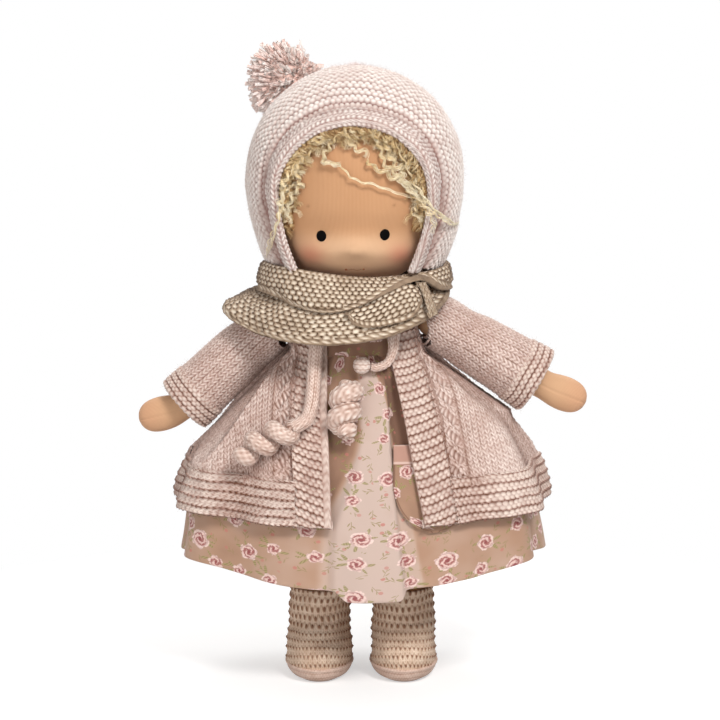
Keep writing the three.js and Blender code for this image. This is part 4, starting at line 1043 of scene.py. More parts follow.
fabric("printed_skirt", skirt_surface, (620, 139), 1.2, skirt_shade, 0.0, calico, "torso", ["dress_skirt"],
       step=1.25, closed=True, folds=skirt_folds, clear=under_sleeves(6.4),
       sheet=("gathered", ["dress_bodice"]))

# %% Bodice
bodice_top = 233.8


def bodice_surface(u, v, depth):
    turn = (u - 0.5) * 2 * np.pi
    return around(mix(bodice_top, waist_height, v), turn, -depth)


def bodice_gathers(s, t, base):
    low = smooth(t, 14, 34)
    return 0.45 * low * np.sin(s / 1.35 + 1.1 * np.sin(s / 9)) + 0.25 * ripples(s, t * 0.3, 9, 41)


def off_shoulders(gap):
    def keep(points):
        kept = np.ones(len(points), bool)
        for arm in sleeves.values():
            kept &= np.linalg.norm(points - shoulder(arm), axis=1) > sleeve_radius + gap
        return kept
    return keep


fabric("printed_bodice", bodice_surface, (220, 33.8), 1.2, in_shade, 0.0, calico, "torso",
       ["dress_bodice"], step=0.9, closed=True, folds=bodice_gathers,
       keep=off_shoulders(5.5), sheet=("gathered", ["stuffed_torso"]))

# %% Pocket and its band
pocket_top, pocket_tall, pocket_wide, pocket_edge = 149.0, 50.0, 48.0, 19.0


def angle_at(x, z, reach):
    return np.arcsin(np.clip((x - lean_at(z)) / reach, -1, 1))


def pocket_edges(s, t):
    """A painted shade for the pocket, which lies in the cardigan's shadow, with a line of stitching just inside
    its side and round foot.
    """
    inside = np.minimum(s - s.min(1, keepdims=True), s.max(1, keepdims=True) - s) - 2.2
    line = hill(inside, 1.5, 0.35)
    return 0 * s, 0.3 - 0.5 * line


# Painted highlights: a light line along the band's top fold and another along its foot.
def band_fold_highlights(s, t):
    foot = t.max(0)[None, :] - rolled_length(1.0, 2) - 0.9
    return 0 * s, hill(t, 0.3, 0.9) + 0.6 * hill(t, foot, 0.6)


def pocket_piece(name, node, top_share, foot_share, lift, shade, material):
    def surface(u, v, depth):
        share = mix(top_share, foot_share, v)
        z = pocket_top - share * pocket_tall
        past = held((share - 0.42) / 0.58)
        half = pocket_wide / 2 * np.sqrt(np.maximum(1 - past**2, 0.03))
        x = pocket_edge + pocket_wide / 2 + (2 * u - 1) * half
        reach = dress_at(z, 0 * z)[0]
        bellied = 1.6 * np.sin(np.pi * held(u)) * np.sin(np.pi * held(share))
        return around(z, angle_at(x, z, reach), 2.1 - depth + bellied * 0.6 + lift)
    size = (pocket_wide, pocket_tall * (foot_share - top_share))
    fabric(name, surface, size, 1.0, shade, 0.0, material, "torso", [node], step=0.5, tuck=2,
           sheet=("laid", ["dress_skirt"]))


pocket_piece("patch_pocket", "pocket", 0.2, 1.0, 0.0, pocket_edges, calico)
pocket_piece("patch_pocket_band", "pocket_band", 0.0, 0.206, 0.5, band_fold_highlights, plain_cotton)

# %% [markdown]
# ## Cardigan
# The cardigan is stocking stitch, with garter stitch front bands and hem. Knitting hangs in soft, round folds
# and not in sharp pleats. The panels end at the shoulder in an armhole, wide enough for the sleeve to swing
# in.

# %% Cardigan shapes
knit_thickness, cardigan_ease = 4.2, 3.2
cardigan_front_drop, cardigan_side_drop, cardigan_top = 129.5, 123.0, 233.0
front_band_width, hem_band_height = 20.0, 23.0
ease_rows = [[0, 0], [0.28, 0], [0.4, 0.5], [0.55, 1], [1, 1]]
hem_share = 1 - hem_band_height / cardigan_front_drop
panel_foot, panel_thickness = hem_share + 0.02, knit_thickness - 1


def cardigan_drop(u):
    return mix(cardigan_front_drop, cardigan_side_drop, np.sin(u) ** 2)


def cardigan_face(turn, v, depth, proud=0.0):
    z = cardigan_top - v * cardigan_drop(turn)
    return around(z, turn, layer_gap + knit_thickness + cardigan_ease * through(ease_rows, v) - depth + proud)


def cardigan_edge(v, sign, inset):
    """The angle of a front edge, or of a line beside it at a distance along the cloth."""
    z = cardigan_top - v * cardigan_front_drop
    opening, offset = mix(36.0, 56.0, v) / 2, mix(-5.5, 9.5, v)
    wide, deep = dress_at(z, 0 * z)
    reach = wide + layer_gap + knit_thickness
    edge = angle_at(offset + sign * opening, z, reach)
    bend = np.hypot(reach * np.cos(edge), deep * np.sin(edge))
    return edge + sign * inset / bend

# %% Panels of the cardigan
def off_sleeves(gap):
    """Keeps what no sleeve reaches from above at any angle of its swing. What is below is pushed clear."""
    def keep(points):
        kept = np.ones(len(points), bool)
        for arm in sleeves.values():
            off = points - shoulder(arm)
            for way, down in sleeve_frames(arm):
                along, below = off @ way, off @ down
                apart = np.linalg.norm(off - along[:, None] * way, axis=1)
                kept &= ~((along > 0) & (apart < sleeve_reach(arm, along, gap)) & (below < 2))
            kept &= (np.linalg.norm(off, axis=1) > sleeve_radius + gap) | (off @ down > 11)
        return kept
    return keep


def panel(edge_from, edge_to, v_from, v_to, proud=0.0):
    def surface(u, v, depth):
        share = mix(v_from, v_to, v)
        clamped = held(share)
        return cardigan_face(mix(edge_from(clamped), edge_to(clamped), u), share, depth, proud)
    return surface

# %% Folds of the cardigan
fold_places = [  # degrees round from the front at waist and hem, degrees wide, millimetres out, share down
    (-58, -68, 9, 2.0, 0.2), (-40, -44, 8, -2.2, 0.4), (56, 64, 8, 2.2, 0.2), (38, 42, 7, -1.6, 0.5),
    (104, 108, 12, 2.6, 0.4), (134, 138, 13, -2.0, 0.4), (162, 166, 13, 2.6, 0.3),
    (-164, -168, 13, -2.0, 0.4), (-136, -140, 13, 2.6, 0.35), (-112, -116, 11, 1.6, 0.4),
    (-50, -57, 5, 1.2, 0.55), (48, 52, 5, 1.4, 0.6),
]


def knit_folds(depth=1.0):
    """The cardigan's big soft folds, which start below the arms and open towards the hem."""
    def folds(s, t, base):
        turn = np.degrees(turn_round(base))
        down = held((cardigan_top - base[..., 2]) / cardigan_front_drop)
        out = 0.6 * ripples(s, t * 0.5, 30, 23) * smooth(down, 0.2, 0.6)
        for at_waist, at_hem, wide, height, start in fold_places:
            away = (turn - mix(at_waist, at_hem, down) + 180) % 360 - 180
            out = out + height * hill(away, 0, wide) * smooth(down, start, start + 0.35)
        return 1.25 * depth * out
    return folds

# %% Stitches of the cardigan
side_turn = np.pi / 2


def stocking_rows(s, t):
    return stocking(s, t, seed=11)


def garter_rows(s, t):
    return garter(s, t + 0.4, 3.6, 5.4, seed=12)


def garter_across(s, t):
    """The front band: garter ridges across it, and a slipped stitch along its edge."""
    edge = np.abs(s)
    return np.where(edge < 3.4, 0.35 + 0.6 * chain(t, 3.4 - edge, 5.4, 5.6), garter(s, t, 3.6, 5.4, seed=13))


def cabled_rows(s, t):
    """Beside the band, two ropes of stitches cross each other. A purl gutter sets them off on either side."""
    across = np.abs(s)
    plain_height = stocking(s, t, seed=11)
    gutter = hill(across, 2.6, 1.2) + 0.8 * hill(across, 14.4, 1.2)
    height = ply = plain_height * (1 - 0.55 * gutter)
    foot = 1 - smooth(t, t.max() - 12, t.max() - 5)
    for side in (0, np.pi):
        sway = 2 * np.pi * t / 25 + side
        away = across - 8.4 - 3.1 * np.sin(sway)
        rope = held(1 - (away / 2.9) ** 2) ** 0.5
        strand = 0.5 - 0.5 * np.cos(2 * np.pi * (t / 3.1 + 0.3 * away * np.sign(np.cos(sway))))
        raised = rope * (1.5 + 0.9 * np.cos(sway)) * (0.6 + 0.4 * strand) * foot
        ply = np.where(raised > height, rope * (0.25 + 0.75 * strand) * (0.85 + 0.15 * np.cos(sway)), ply)
        height = np.maximum(height, raised)
    return height, ply

# %% Cardigan pieces
knit_back_ends = (lambda v: side_turn + 0 * v, lambda v: 2 * np.pi - side_turn + 0 * v)
fabric("knit_back", panel(*knit_back_ends, 0.0, panel_foot), (250, 108), panel_thickness, stocking_rows, 1.4,
       cardigan_yarn, "torso", ["cardigan_back"], step=0.8, roll_sides=False, folds=knit_folds(),
       keep=off_sleeves(1.0), clear=under_sleeves(1.2), sheet=("draped", ["printed_skirt"]))
for side, sign in (("left", -1), ("right", 1)):
    inner = lambda v, k=sign: cardigan_edge(v, k, front_band_width - 1.2)
    outer = lambda v, k=sign: k * (side_turn + 0.012) + 0 * v
    ends = (inner, outer) if sign > 0 else (outer, inner)
    fabric(f"knit_front_{side}", panel(*ends, 0.0, panel_foot), (92, 108), panel_thickness, cabled_rows, 1.4,
           cardigan_yarn, "torso", [f"cardigan_front_{side}"], step=0.7, roll_sides=False,
           folds=knit_folds(), keep=off_sleeves(1.0), clear=under_sleeves(1.2),
           measured_from=0.0 if sign > 0 else 1.0, sheet=("draped", ["printed_skirt"]))
    edge = lambda v, k=sign: cardigan_edge(v, k, 0)
    band_edge = lambda v, k=sign: cardigan_edge(v, k, front_band_width)
    ends = (edge, band_edge) if sign > 0 else (band_edge, edge)
    fabric(f"knit_band_{side}", panel(*ends, 0.0, 1.0, 0.6), (front_band_width, cardigan_front_drop), 3.4,
           garter_across, 1.6, shaded_band_yarn, "torso", [f"front_band_{side}"], step=0.55, tuck=3,
           folds=knit_folds(0.5), keep=off_sleeves(1.8), measured_from=0.0 if sign > 0 else 1.0,
           sheet=("draped", ["printed_skirt"]))
hem_ends = (lambda v: cardigan_edge(v, 1, front_band_width - 0.8),
            lambda v: 2 * np.pi + cardigan_edge(v, -1, front_band_width - 0.8))
fabric("knit_hem", panel(*hem_ends, hem_share - 0.012, 1.0, 1.9), (560, hem_band_height + 1.5), 3.4,
       garter_rows, 1.7, shaded_band_yarn, "torso", ["hem_band"], step=0.7, tuck=4, roll_sides=False,
       folds=knit_folds(), sheet=("draped", ["printed_skirt"]))

# %% [markdown]
# ## Sleeves and cuffs
# A sleeve is knitted flat and sewn into a tube, so its stitch columns run from shoulder to cuff. It is a
# little too long and too wide for the arm, so it creases round it, most near the elbow. On the real doll
# the cloth runs through from body to sleeve. Here the arm has to swing, so a knitted lining, a hollow and a
# cover on the arm's ball close the armhole from behind.

# %% Sleeves
def sleeve_surface(arm, from_mm, to_mm, grow):
    way, up = arm_axes(arm)

    def surface(u, v, depth):
        run = mix(from_mm, to_mm, v)
        turn = (u * 2 * np.pi) * arm["sign"] + np.pi
        cone = mix(sleeve_radius, arm["cuff"], run / (arm["length"] + cuff_length))
        cap = np.sqrt(np.maximum(sleeve_radius**2 - np.minimum(run, 0) ** 2, 0.02))
        radius = np.where(run < 0, cap, cone) + grow - depth
        point = run[..., None] * way + (radius * np.cos(turn))[..., None] * up
        return point + (radius * np.sin(turn))[..., None] * forwards + shoulder(arm)
    return surface


def cuff_rows(s, t):
    return garter(s, t + 0.3, 3.6, 4.1, seed=14)


def creases(seed, depth):
    def folds(s, t, base):
        rings = np.sin(t / 4.6 + 1.6 * ripples(s, 0 * t, 60, seed) + 0.02 * s) * hill(t, 48, 16)
        return depth * (0.8 * rings + 0.55 * ripples(s * 0.6, t, 30, seed + 1)) * smooth(t, 6, 20) - 0.4
    return folds

# %% Armholes
def clear_of_torso(points, arm):
    """Drops what would reach the torso or its bodice at some angle of the arm's swing."""
    off = points - shoulder(arm)
    z = points[:, 2]
    past_hole = np.linalg.norm(off, axis=1) > 16.4
    kept = np.ones(len(points), bool)
    for swing in np.radians([swing_back, -10, 0, 9, 18, 27, swing_ahead]) * -arm["sign"]:
        x = arm["x"] - lean_at(z) + off[:, 0] * np.cos(swing) - off[:, 1] * np.sin(swing)
        y = off[:, 0] * np.sin(swing) + off[:, 1] * np.cos(swing)
        gap = np.where(past_hole, under_dress + 1.1, 0.8)
        kept &= (x / (torso_width(z) + gap)) ** 2 + (y / (torso_depth(z) + gap)) ** 2 > 1
    return kept


def ball_surface(arm, radius, reach):
    """Part of a ball round the shoulder, from the side that faces the body to an angle away from it."""
    way, up = arm_axes(arm)

    def surface(u, v, depth):
        tilt, turn = mix(0.04, reach, v)[..., None], ((u * 2 * np.pi) * arm["sign"] + np.pi)[..., None]
        way_out = np.sin(tilt) * (np.cos(turn) * up + np.sin(turn) * forwards) - np.cos(tilt) * way
        return (radius - depth[..., None]) * way_out + shoulder(arm)
    return surface


def lining_surface(sign):
    """The cardigan's inside, which lies on the torso at the armhole."""
    def surface(u, v, depth):
        turn, z = np.pi * (0.5 * sign + mix(-0.3, 0.3, u)), mix(torso_top - 0.5, 196.5, v)
        wide, deep = torso_width(z) + 0.2, torso_depth(z) + 0.2
        return np.stack([lean_at(z) + wide * np.sin(turn), -deep * np.cos(turn), z], -1)
    return surface


def in_armhole(points, arm, shell=5):
    """Keeps what no angle of the arm's swing reaches, and what lies within the cardigan's shell."""
    off = points - shoulder(arm)
    kept = np.ones(len(points), bool)
    for way, _ in sleeve_frames(arm):
        kept &= off @ way < 10.5
    wide, deep = dress_at(points[:, 2], turn_round(points))
    across = (points[:, 0] - lean_at(points[:, 2])) / (wide + shell)
    return kept & (across**2 + (points[:, 1] / (deep + shell)) ** 2 < 1)

# %% Sleeve pieces
for side, arm in sleeves.items():
    outside = lambda points, a=arm: clear_of_torso(points, a)
    hollow = lambda points, a=arm: in_armhole(points, a)
    fabric(f"knit_armhole_{side}", ball_surface(arm, 20.5, 2.2), (129, 45), 0, stocking_rows, 0.5,
           cardigan_yarn, "torso", step=0.8, closed=True, keep=hollow)
    beside = lambda points, a=arm: np.linalg.norm(points - shoulder(a), axis=1) < 23
    fabric(f"knit_lining_{side}", lining_surface(arm["sign"]), (80, 42), 0, stocking_rows, 0.5, cardigan_yarn,
           "torso", step=0.8, keep=beside)
    fabric(f"knit_shoulder_{side}", ball_surface(arm, 12.4, 2.2), (78, 27), 0, stocking_rows, 0.8,
           cardigan_yarn, f"arm_{side}", step=0.7, closed=True, keep=outside)
    fabric(f"knit_sleeve_{side}", sleeve_surface(arm, -15.9, arm["length"] + 0.6, -0.5),
           (112, arm["length"] + 16), 2.4, stocking_rows, 1.4, cardigan_yarn, f"arm_{side}",
           [f"sleeve_{side}"], step=0.62, closed=True, folds=creases(21, 0.7), keep=outside,
           tuck=4, sheet=("draped", [f"stuffed_arm_{side}"]))
    fabric(f"knit_cuff_{side}", sleeve_surface(arm, arm["length"] - 0.4, arm["length"] + cuff_length, -0.6),
           (122, 12.4), 2.8, cuff_rows, 1.5, shaded_band_yarn, f"arm_{side}", [f"cuff_{side}"], step=0.55,
           closed=True, tuck=6, sheet=("draped", [f"stuffed_arm_{side}"]))

# %% [markdown]
# ## Bonnet
# The bonnet is garter stitch, knitted from the face edge backwards, so its ridges run round the face. The
# edge band is picked up along the opening. A map from any point of the bonnet to its row and stitch gives the
# ridges: rows are cones round the doll's line of sight, stretched where the opening is taller.

# %% Bonnet shapes
bonnet_radius, bonnet_crown, bonnet_lower = 65.6, 65.8, 90.0
bonnet_centre = head_centre + 60 + 5.5 + 6 + 0.6 - bonnet_crown
bonnet_bottom = bonnet_centre + bonnet_crown - 121
opening_half, opening_crown, opening_foot, opening_spring = 45.5, 41.2, 34.0, head_centre - 1.2
opening_lean = body_lean - 1.0


def bonnet_radius_at(z, grow=0.0):
    reach = np.where(z > bonnet_centre, bonnet_crown + grow, bonnet_lower)
    return (bonnet_radius + grow) * np.sqrt(held(1 - ((z - bonnet_centre) / reach) ** 2))


def side_half(z):
    """Half the opening's width below the temples, where it draws in towards the chin."""
    below = np.clip((opening_spring - z) / (opening_spring - bonnet_bottom), 0, 1.2)
    return mix(opening_half, opening_foot, below**1.8)


def opening_gap(points):
    """How far outside the face opening a point lies, seen from the front, in millimetres."""
    x, z = points[..., 0] - opening_lean, points[..., 2]
    side = np.abs(x) - side_half(z)
    arch = np.hypot(x / opening_half, (z - opening_spring) / opening_crown)
    over = (arch - 1) * np.hypot(x, z - opening_spring) / np.maximum(arch, 0.01)
    gap = np.where(z > opening_spring, over, side)
    return np.where(points[..., 1] < 0, gap, 60)


def bonnet_rows(points):
    """Millimetres along and across the rows, which start at the opening's edge and close behind the crown."""
    x, y = points[..., 0] - opening_lean, points[..., 1]
    up = points[..., 2] - opening_spring
    turn = np.arctan2(x, np.maximum(up, 0))
    cone = np.arctan2(np.hypot(x, np.maximum(up, 0)), -y)
    arch = opening_half * opening_crown / np.hypot(opening_crown * np.sin(turn), opening_half * np.cos(turn))
    edge = np.where(up > 0, arch, side_half(points[..., 2]))
    start = np.arcsin(np.clip((edge + 8.6) / 66, 0, 0.98))
    return turn * 52 - np.sign(x) * np.minimum(up, 0), 64 * (cone - mix(start, 0.75, smooth(cone, 1.2, 2.4)))


def cap_rings(bottom, grow, step):
    meridian = np.concatenate([np.linspace(bottom, bonnet_centre, round((bonnet_centre - bottom) / step)),
                               bonnet_centre + (bonnet_crown + grow) * np.sin(
                                   np.linspace(0, np.pi / 2, round(104 / step))[1:])])
    radii = np.maximum(bonnet_radius_at(meridian, grow), 0.05)
    return oval_rings(meridian[::-1], body_lean, 0, radii[::-1], radii[::-1], round(412 / step))

# %% Bonnet mesh
bonnet_base = cap_rings(bonnet_bottom + 0.5, -1.7, 0.7)[:, ::-1]
s, t = bonnet_rows(bonnet_base)
bonnet_ply = garter(s, t, 3.3, 5.6, seed=15)
bonnet_soft = 0.8 * ripples(s, t, 46, 51) + 0.4 * ripples(s, t, 17, 52)
groove = np.exp(-((opening_gap(bonnet_base) - 6.6) / 2.9) ** 2)
# The groove beside the edge band is also painted darker: painted shade.
bonnet_ply = bonnet_ply * (1 - 0.75 * groove)
bonnet_out = 2.5 * bonnet_ply + 0.4 * bonnet_soft - 1.6 * groove
bonnet_points = bonnet_base + grid_normals(bonnet_base, True) * bonnet_out[..., None]
bonnet_faces = grid_faces(*bonnet_ply.shape, True)
shown = opening_gap(bonnet_base).reshape(-1) > 5.0
bonnet_faces = bonnet_faces[shown[bonnet_faces].all(1)]
flat_points, faces, values = without_loose(bonnet_points.reshape(-1, 3), bonnet_faces, {"ply": bonnet_ply})
new_piece("knit_bonnet", flat_points, faces, bonnet_yarn, values, "head", ["bonnet"])

# %% Edge band of the bonnet
def arch_line(share, outwards):
    """Points of the opening's outline, from the left foot over the crown to the right foot."""
    side = opening_spring - bonnet_bottom
    curve = np.pi * (opening_half + opening_crown) / 2
    run = share * (2 * side + curve)
    left = run < side
    right = run > side + curve
    turn = held((run - side) / curve) * np.pi
    down = np.clip(np.where(left, side - run, run - side - curve), 0, side)
    x = np.where(left | right, 0, -np.cos(turn) * (opening_half + outwards))
    half = side_half(opening_spring - down) + outwards
    x = np.where(left, -half, np.where(right, half, x))
    arch_z = opening_spring + np.sin(turn) * (opening_crown + outwards)
    return x, np.where(left | right, opening_spring - down, arch_z)


def edge_surface(u, v, depth):
    wide = 4.6 + 2.2 * smooth(0.5 - np.abs(held(u) - 0.5), 0.16, 0.34)
    x, z = arch_line(held(u), wide * v)
    rolled = 1.9 * np.sin(np.pi * held(v)) ** 0.8
    radius = bonnet_radius_at(z) - 0.8 + rolled - depth
    x = x + opening_lean
    return np.stack([x, -np.sqrt(np.maximum(radius**2 - (x - body_lean) ** 2, 1)), z], -1)


def edge_stitch(s, t):
    """Two chains of V stitches that run side by side along the edge."""
    return stocking(t + 0.3, s, 4.2, 3.1, 16)


fabric("knit_bonnet_edge", edge_surface, (230, 8.0), 3.6, edge_stitch, 1.2, bonnet_yarn, "head",
       ["bonnet_edge_band"], step=0.5, tuck=1.5)

# %% [markdown]
# ## Pompom
# A pompom is hundreds of cut yarn ends tied in the middle. Each end splays, so the outside is soft and the
# inside is dense. Each end here is a small bundle of strands that starts inside the ball and bends a little
# on its way out. The hair after it is made of the same bundles, longer and curled.

# %% Locks and strands
def even_ways(count):
    place = np.arange(count) + 0.5
    up = 1 - 2 * place / count
    turn = place * np.pi * (1 + 5**0.5)
    flat = np.sqrt(1 - up**2)
    return np.stack([flat * np.cos(turn), flat * np.sin(turn), up], -1)


def lock(path, count, radius, crimp, tone, seed, bits=22):
    """The strands of one lock. They share its path and crimp, and differ in phase, width and shade."""
    own = np.random.default_rng(seed)
    path = np.asarray(path, float)
    share, fine = np.linspace(0, 1, len(path)), np.linspace(0, 1, bits)
    middle = curve_through(share, path, fine)
    along = np.gradient(middle, axis=0)
    winds = np.linalg.norm(along, axis=1).sum() / crimp
    along = unit(along)
    side = unit(np.cross(along, [0.05, -1, 0.1]))
    out = np.cross(side, along)
    lines, tones = [], []
    for _ in range(count):
        swing = 2 * np.pi * winds * fine + seed + own.normal(scale=0.5)
        reach = radius * own.uniform(0.4, 1.15) * (0.3 + 0.7 * np.sin(np.pi * held(fine * 1.2)))
        stray = own.normal(scale=0.5, size=2) * radius
        lines.append(middle + side * (reach * np.cos(swing) + stray[0] * fine)[:, None]
                     + out * (0.8 * reach * np.sin(swing) + abs(stray[1]) * fine)[:, None])
        # Each strand is painted darker towards its root, deep inside the lock or the pompom: painted shade.
        tones.append(held(tone * (0.5 + 0.5 * fine) + own.normal(scale=0.1)))
    return lines, tones


def strand_mesh(name, locks, thick, material, body, nodes=(), blunt=False):
    """Three-sided threads along many lines of equal point counts, with a shade at each point."""
    line = np.stack([one for lines, _ in locks for one in lines])
    tone = np.stack([one for _, tones in locks for one in tones])
    along = unit(np.gradient(line, axis=1))
    side = unit(np.cross(along, [0.3, -0.9, 0.31]))
    out = np.cross(side, along)
    count, bits, _ = line.shape
    taper = (1 - (0.15 if blunt else 0.75) * np.linspace(0, 1, bits) ** 3)[None, :, None]
    corners = np.arange(3) * 2 * np.pi / 3
    rings = [line + thick * taper * (np.cos(a) * side + np.sin(a) * out) for a in corners]
    points = np.stack(rings, 2).reshape(-1, 3)
    start = (np.arange(count) * bits * 3)[:, None, None] + (np.arange(bits - 1) * 3)[None, :, None]
    a = start + np.arange(3)[None, None, :]
    b = start + (np.arange(3)[None, None, :] + 1) % 3
    faces = np.stack([a, b, b + 3, a + 3], -1).reshape(-1, 4)
    print(name, count, "strands")
    new_piece(name, points, faces, material, {"ply": np.repeat(tone.ravel(), 3)}, body, nodes)


# %% Pompom ends
pompom_centre = np.array([body_lean - 42.6, 28, bonnet_centre + 54.0])
tied_at = pompom_centre + [8, 0, 1]
outline = [[-180, 22], [-135, 23.4], [-110, 24.2], [-70, 21], [-20, 22], [8, 27], [25, 22], [45, 18],
           [62, 21.5], [90, 24.4], [135, 25], [180, 22]]
tufts = []
for k, way in enumerate(even_ways(820)):
    own = np.random.default_rng(700 + k)
    flat = np.hypot(way[0], way[2])
    reach = mix(22, through(outline, np.degrees(np.arctan2(way[2], way[0]))), flat) * own.uniform(0.95, 1.09)
    end = pompom_centre + reach * (way + own.normal(scale=0.05, size=3))
    root = mix(tied_at, end, 0.3)
    middle = mix(root, end, 0.55) + own.normal(scale=1.2, size=3) + [0, 0, 0.8]
    if np.linalg.norm((end - [body_lean, 0, bonnet_centre]) / 67.0) > 1:
        path = [root, mix(root, middle, 0.6), middle, end]
        tufts.append(lock(path, 9, 0.85, 5.0, own.uniform(0.6, 1.15), k, 12))
strand_mesh("pompom_ends", tufts, 0.46, pompom_yarn, "head", ["pompom"], blunt=True)
core_levels = np.linspace(-1.5, 1.5, 24)
core = oval_rings(pompom_centre[2] + 17 * np.sin(core_levels), pompom_centre[0], pompom_centre[1],
                  17 * np.cos(core_levels), 17 * np.cos(core_levels), 40)
loft("pompom_core", core, pompom_yarn, "head", [], {"ply": np.full((24, 40), 0.5)})

# %% [markdown]
# ## Hair
# The wig is mohair: fine blonde fibres in loose locks that twist as they leave the bonnet. Each lock is a
# bundle of thin strands that share one curl and differ a little in phase and width.

# %% Wig
def hair_y(x, z):
    """The wig's face: it stands under the bonnet's edge, and comes down to the brow."""
    gap = opening_gap(np.stack([x, -60 + 0 * x, z + 0 * x], -1))
    under = -np.sqrt(np.maximum((bonnet_radius_at(z) - 5.4) ** 2 - (x - body_lean) ** 2, 1))
    share = smooth(gap, -11, -2) * smooth(z, 266, 286)
    face = face_y(x - body_lean, z)
    return np.minimum(face, mix(face, under, share))


def wig_surface(u, v, depth):
    x, z = arch_line(mix(0.1, 0.9, u), mix(4.0, -11.5, v))
    x = x + opening_lean
    return np.stack([x, hair_y(x, z) + 1.2 * smooth(v, 0.75, 1) + 0.8, z], -1)


def wig_curls(s, t):
    """Curls so small that only their humps show."""
    return held(0.5 + 0.35 * ripples(s, t, 3.2, 63, 9) + 0.2 * ripples(s, t, 8, 64))


# The wig under the locks is painted dark, lighter only on its humps: painted shade.
fabric("mohair_wig", wig_surface, (190, 15.5), 0, lambda s, t: wig_curls(s, t) * 0.6, 2.2, mohair, "head",
       ["wig"], step=0.5)

# %% Fringe
def on_front(x, z, out):
    """A point that far in front of the face, or of the bonnet where the hair falls over its edge."""
    ahead = hair_y(np.array(x), np.array(z))
    outside = smooth(opening_gap(np.array([x, -60.0, z])), -6.0, -1.5)
    cap = -np.sqrt(max(float(bonnet_radius_at(np.array(z))) ** 2 - (x - body_lean) ** 2, 0)) - 1.6
    return [x, float(mix(ahead, min(ahead, cap), outside)) - out, z]


def fringe(count, reach_from, reach_to, start_out, lift, seed):
    """Paths of short locks that come from under the bonnet's edge and lie inwards over the brow."""
    own = np.random.default_rng(seed)
    for i in range(count):
        share = mix(0.13, 0.87, (i + 0.5) / count) + own.normal(scale=0.004)
        x, z = (float(v) for v in arch_line(np.array(share), start_out))
        over = z > opening_spring - 6
        inwards = np.array([-x, -(z - opening_spring) * over * 1.2])
        inwards /= np.linalg.norm(inwards)
        aside = np.array([-inwards[1], inwards[0]]) * own.normal(scale=0.5)
        reach = own.uniform(reach_from, reach_to) * (1 if over else 0.55)
        path = []
        for k in (0, 0.35, 0.7, 1):
            step = inwards * reach * k + aside * reach * k**2 + [0, -1.5 * k * (not over)]
            at_x, at_z = x + opening_lean + step[0], z + step[1]
            out = lift * (0.1 + own.uniform(0.3, 1) * min(2 * k, 1))
            path.append([at_x, float(hair_y(np.array(at_x), np.array(at_z))) - out, at_z])
        yield path, int(own.integers(1, 10**6))


# The under locks are painted darker, as painted shade beneath the curls.
under = [lock(path, 9, 1.2, 4.6, 0.36, seed) for path, seed in fringe(230, 7.5, 13.5, 2.0, 1.6, 61)]
strand_mesh("mohair_under", under, 0.2, mohair, "head")
over = [lock(path, 10, 1.7, 5.4, 0.4 + 0.6 * (seed % 7) / 6, seed, 26)
        for path, seed in fringe(150, 8.0, 17.5, 1.5, 2.6, 62)]
strand_mesh("mohair_curls", over, 0.17, mohair, "head")

# %% Long locks
long_locks = [  # strands, width, crimp, then x and z along the lock
    (16, 2.0, 6, [[-14, 334], [-17.6, 329], [-20.3, 324.6], [-22.6, 319], [-17, 317], [-12, 316.6]]),
    (7, 0.8, 9, [[-22, 322], [-23, 319], [-13, 316.4], [-8.5, 311.6], [-3, 307.5], [6, 305.2], [15, 301.8],
                 [22.5, 298.7], [30, 296.5]]),
    (12, 1.5, 6, [[-8, 335], [-6.7, 329.3], [-3, 325.7], [3.3, 323.8], [1.5, 321.2]]),
    (14, 1.9, 8, [[7, 337], [8.8, 332], [11.5, 324.6], [13.3, 317.3], [19.7, 311.7], [26, 306], [32.6, 299],
                  [37.5, 292.8]]),
    (15, 2.1, 8, [[3, 320], [5, 316.6], [12.4, 312.8], [18.8, 309], [24.3, 307], [28, 301.2], [35.4, 296]]),
    (7, 0.9, 12, [[18, 309], [24.3, 305], [28, 301], [35.4, 296], [44, 289.3], [52.8, 281.7], [58.4, 277]]),
    (8, 0.9, 11, [[20, 330], [22.5, 323.4], [27, 315], [30.8, 305.6], [36.4, 298.7], [42, 291.5],
                  [50, 283.6]]),
    (14, 2.2, 6, [[13, 333], [15.2, 326.4], [18.8, 318], [24.3, 312.4], [22.5, 307], [28, 304]]),
    (10, 1.3, 5, [[34, 300], [33.5, 295], [32.6, 290.7], [31.7, 287], [34.5, 283.8], [35.9, 286.6]]),
    (9, 1.2, 10, [[-30, 325], [-35.9, 318.6], [-40.6, 313], [-45.3, 305], [-46.3, 295.7], [-48.2, 286],
                  [-50.8, 278], [-53, 269.5], [-55.8, 263]]),
    (15, 1.9, 6, [[-34, 321], [-37.8, 315], [-37.3, 307.6], [-35.4, 303], [-39.6, 299], [-42.5, 292.4],
                  [-43.4, 286.7], [-41, 281.7]]),
    (15, 1.9, 6, [[-38, 318], [-42.5, 311.8], [-46.3, 305], [-45.3, 301.4], [-48.2, 294.6], [-45.8, 290],
                  [-43.4, 284.8]]),
    (12, 1.5, 6, [[-28, 326], [-32.2, 321.5], [-36, 317.7], [-38.7, 313], [-37.8, 307.5]]),
    (6, 1.1, 9, [[24, 306], [30, 299], [37, 292.5], [45, 287.5], [52, 283], [57, 276]]),
    (5, 1.2, 8, [[26, 301], [33, 295], [40, 289.5], [48, 284], [54, 279.5], [59, 279]]),
    (6, 1.4, 7, [[30, 298], [36, 292], [40, 287], [43, 281], [41, 276]]),
    (5, 1.0, 8, [[-46, 297], [-49, 289], [-50, 281], [-54, 273], [-56, 266], [-57, 259]]),
]
# The long locks on top are painted lightest: painted highlight.
long = [lock([on_front(x, z, 3.2 + 0.6 * (k > 0)) for k, (x, z) in enumerate(places)], count, radius, crimp,
             1.1, 300 + i, 52) for i, (count, radius, crimp, places) in enumerate(long_locks)]
strand_mesh("mohair_long", long, 0.19, mohair, "head")

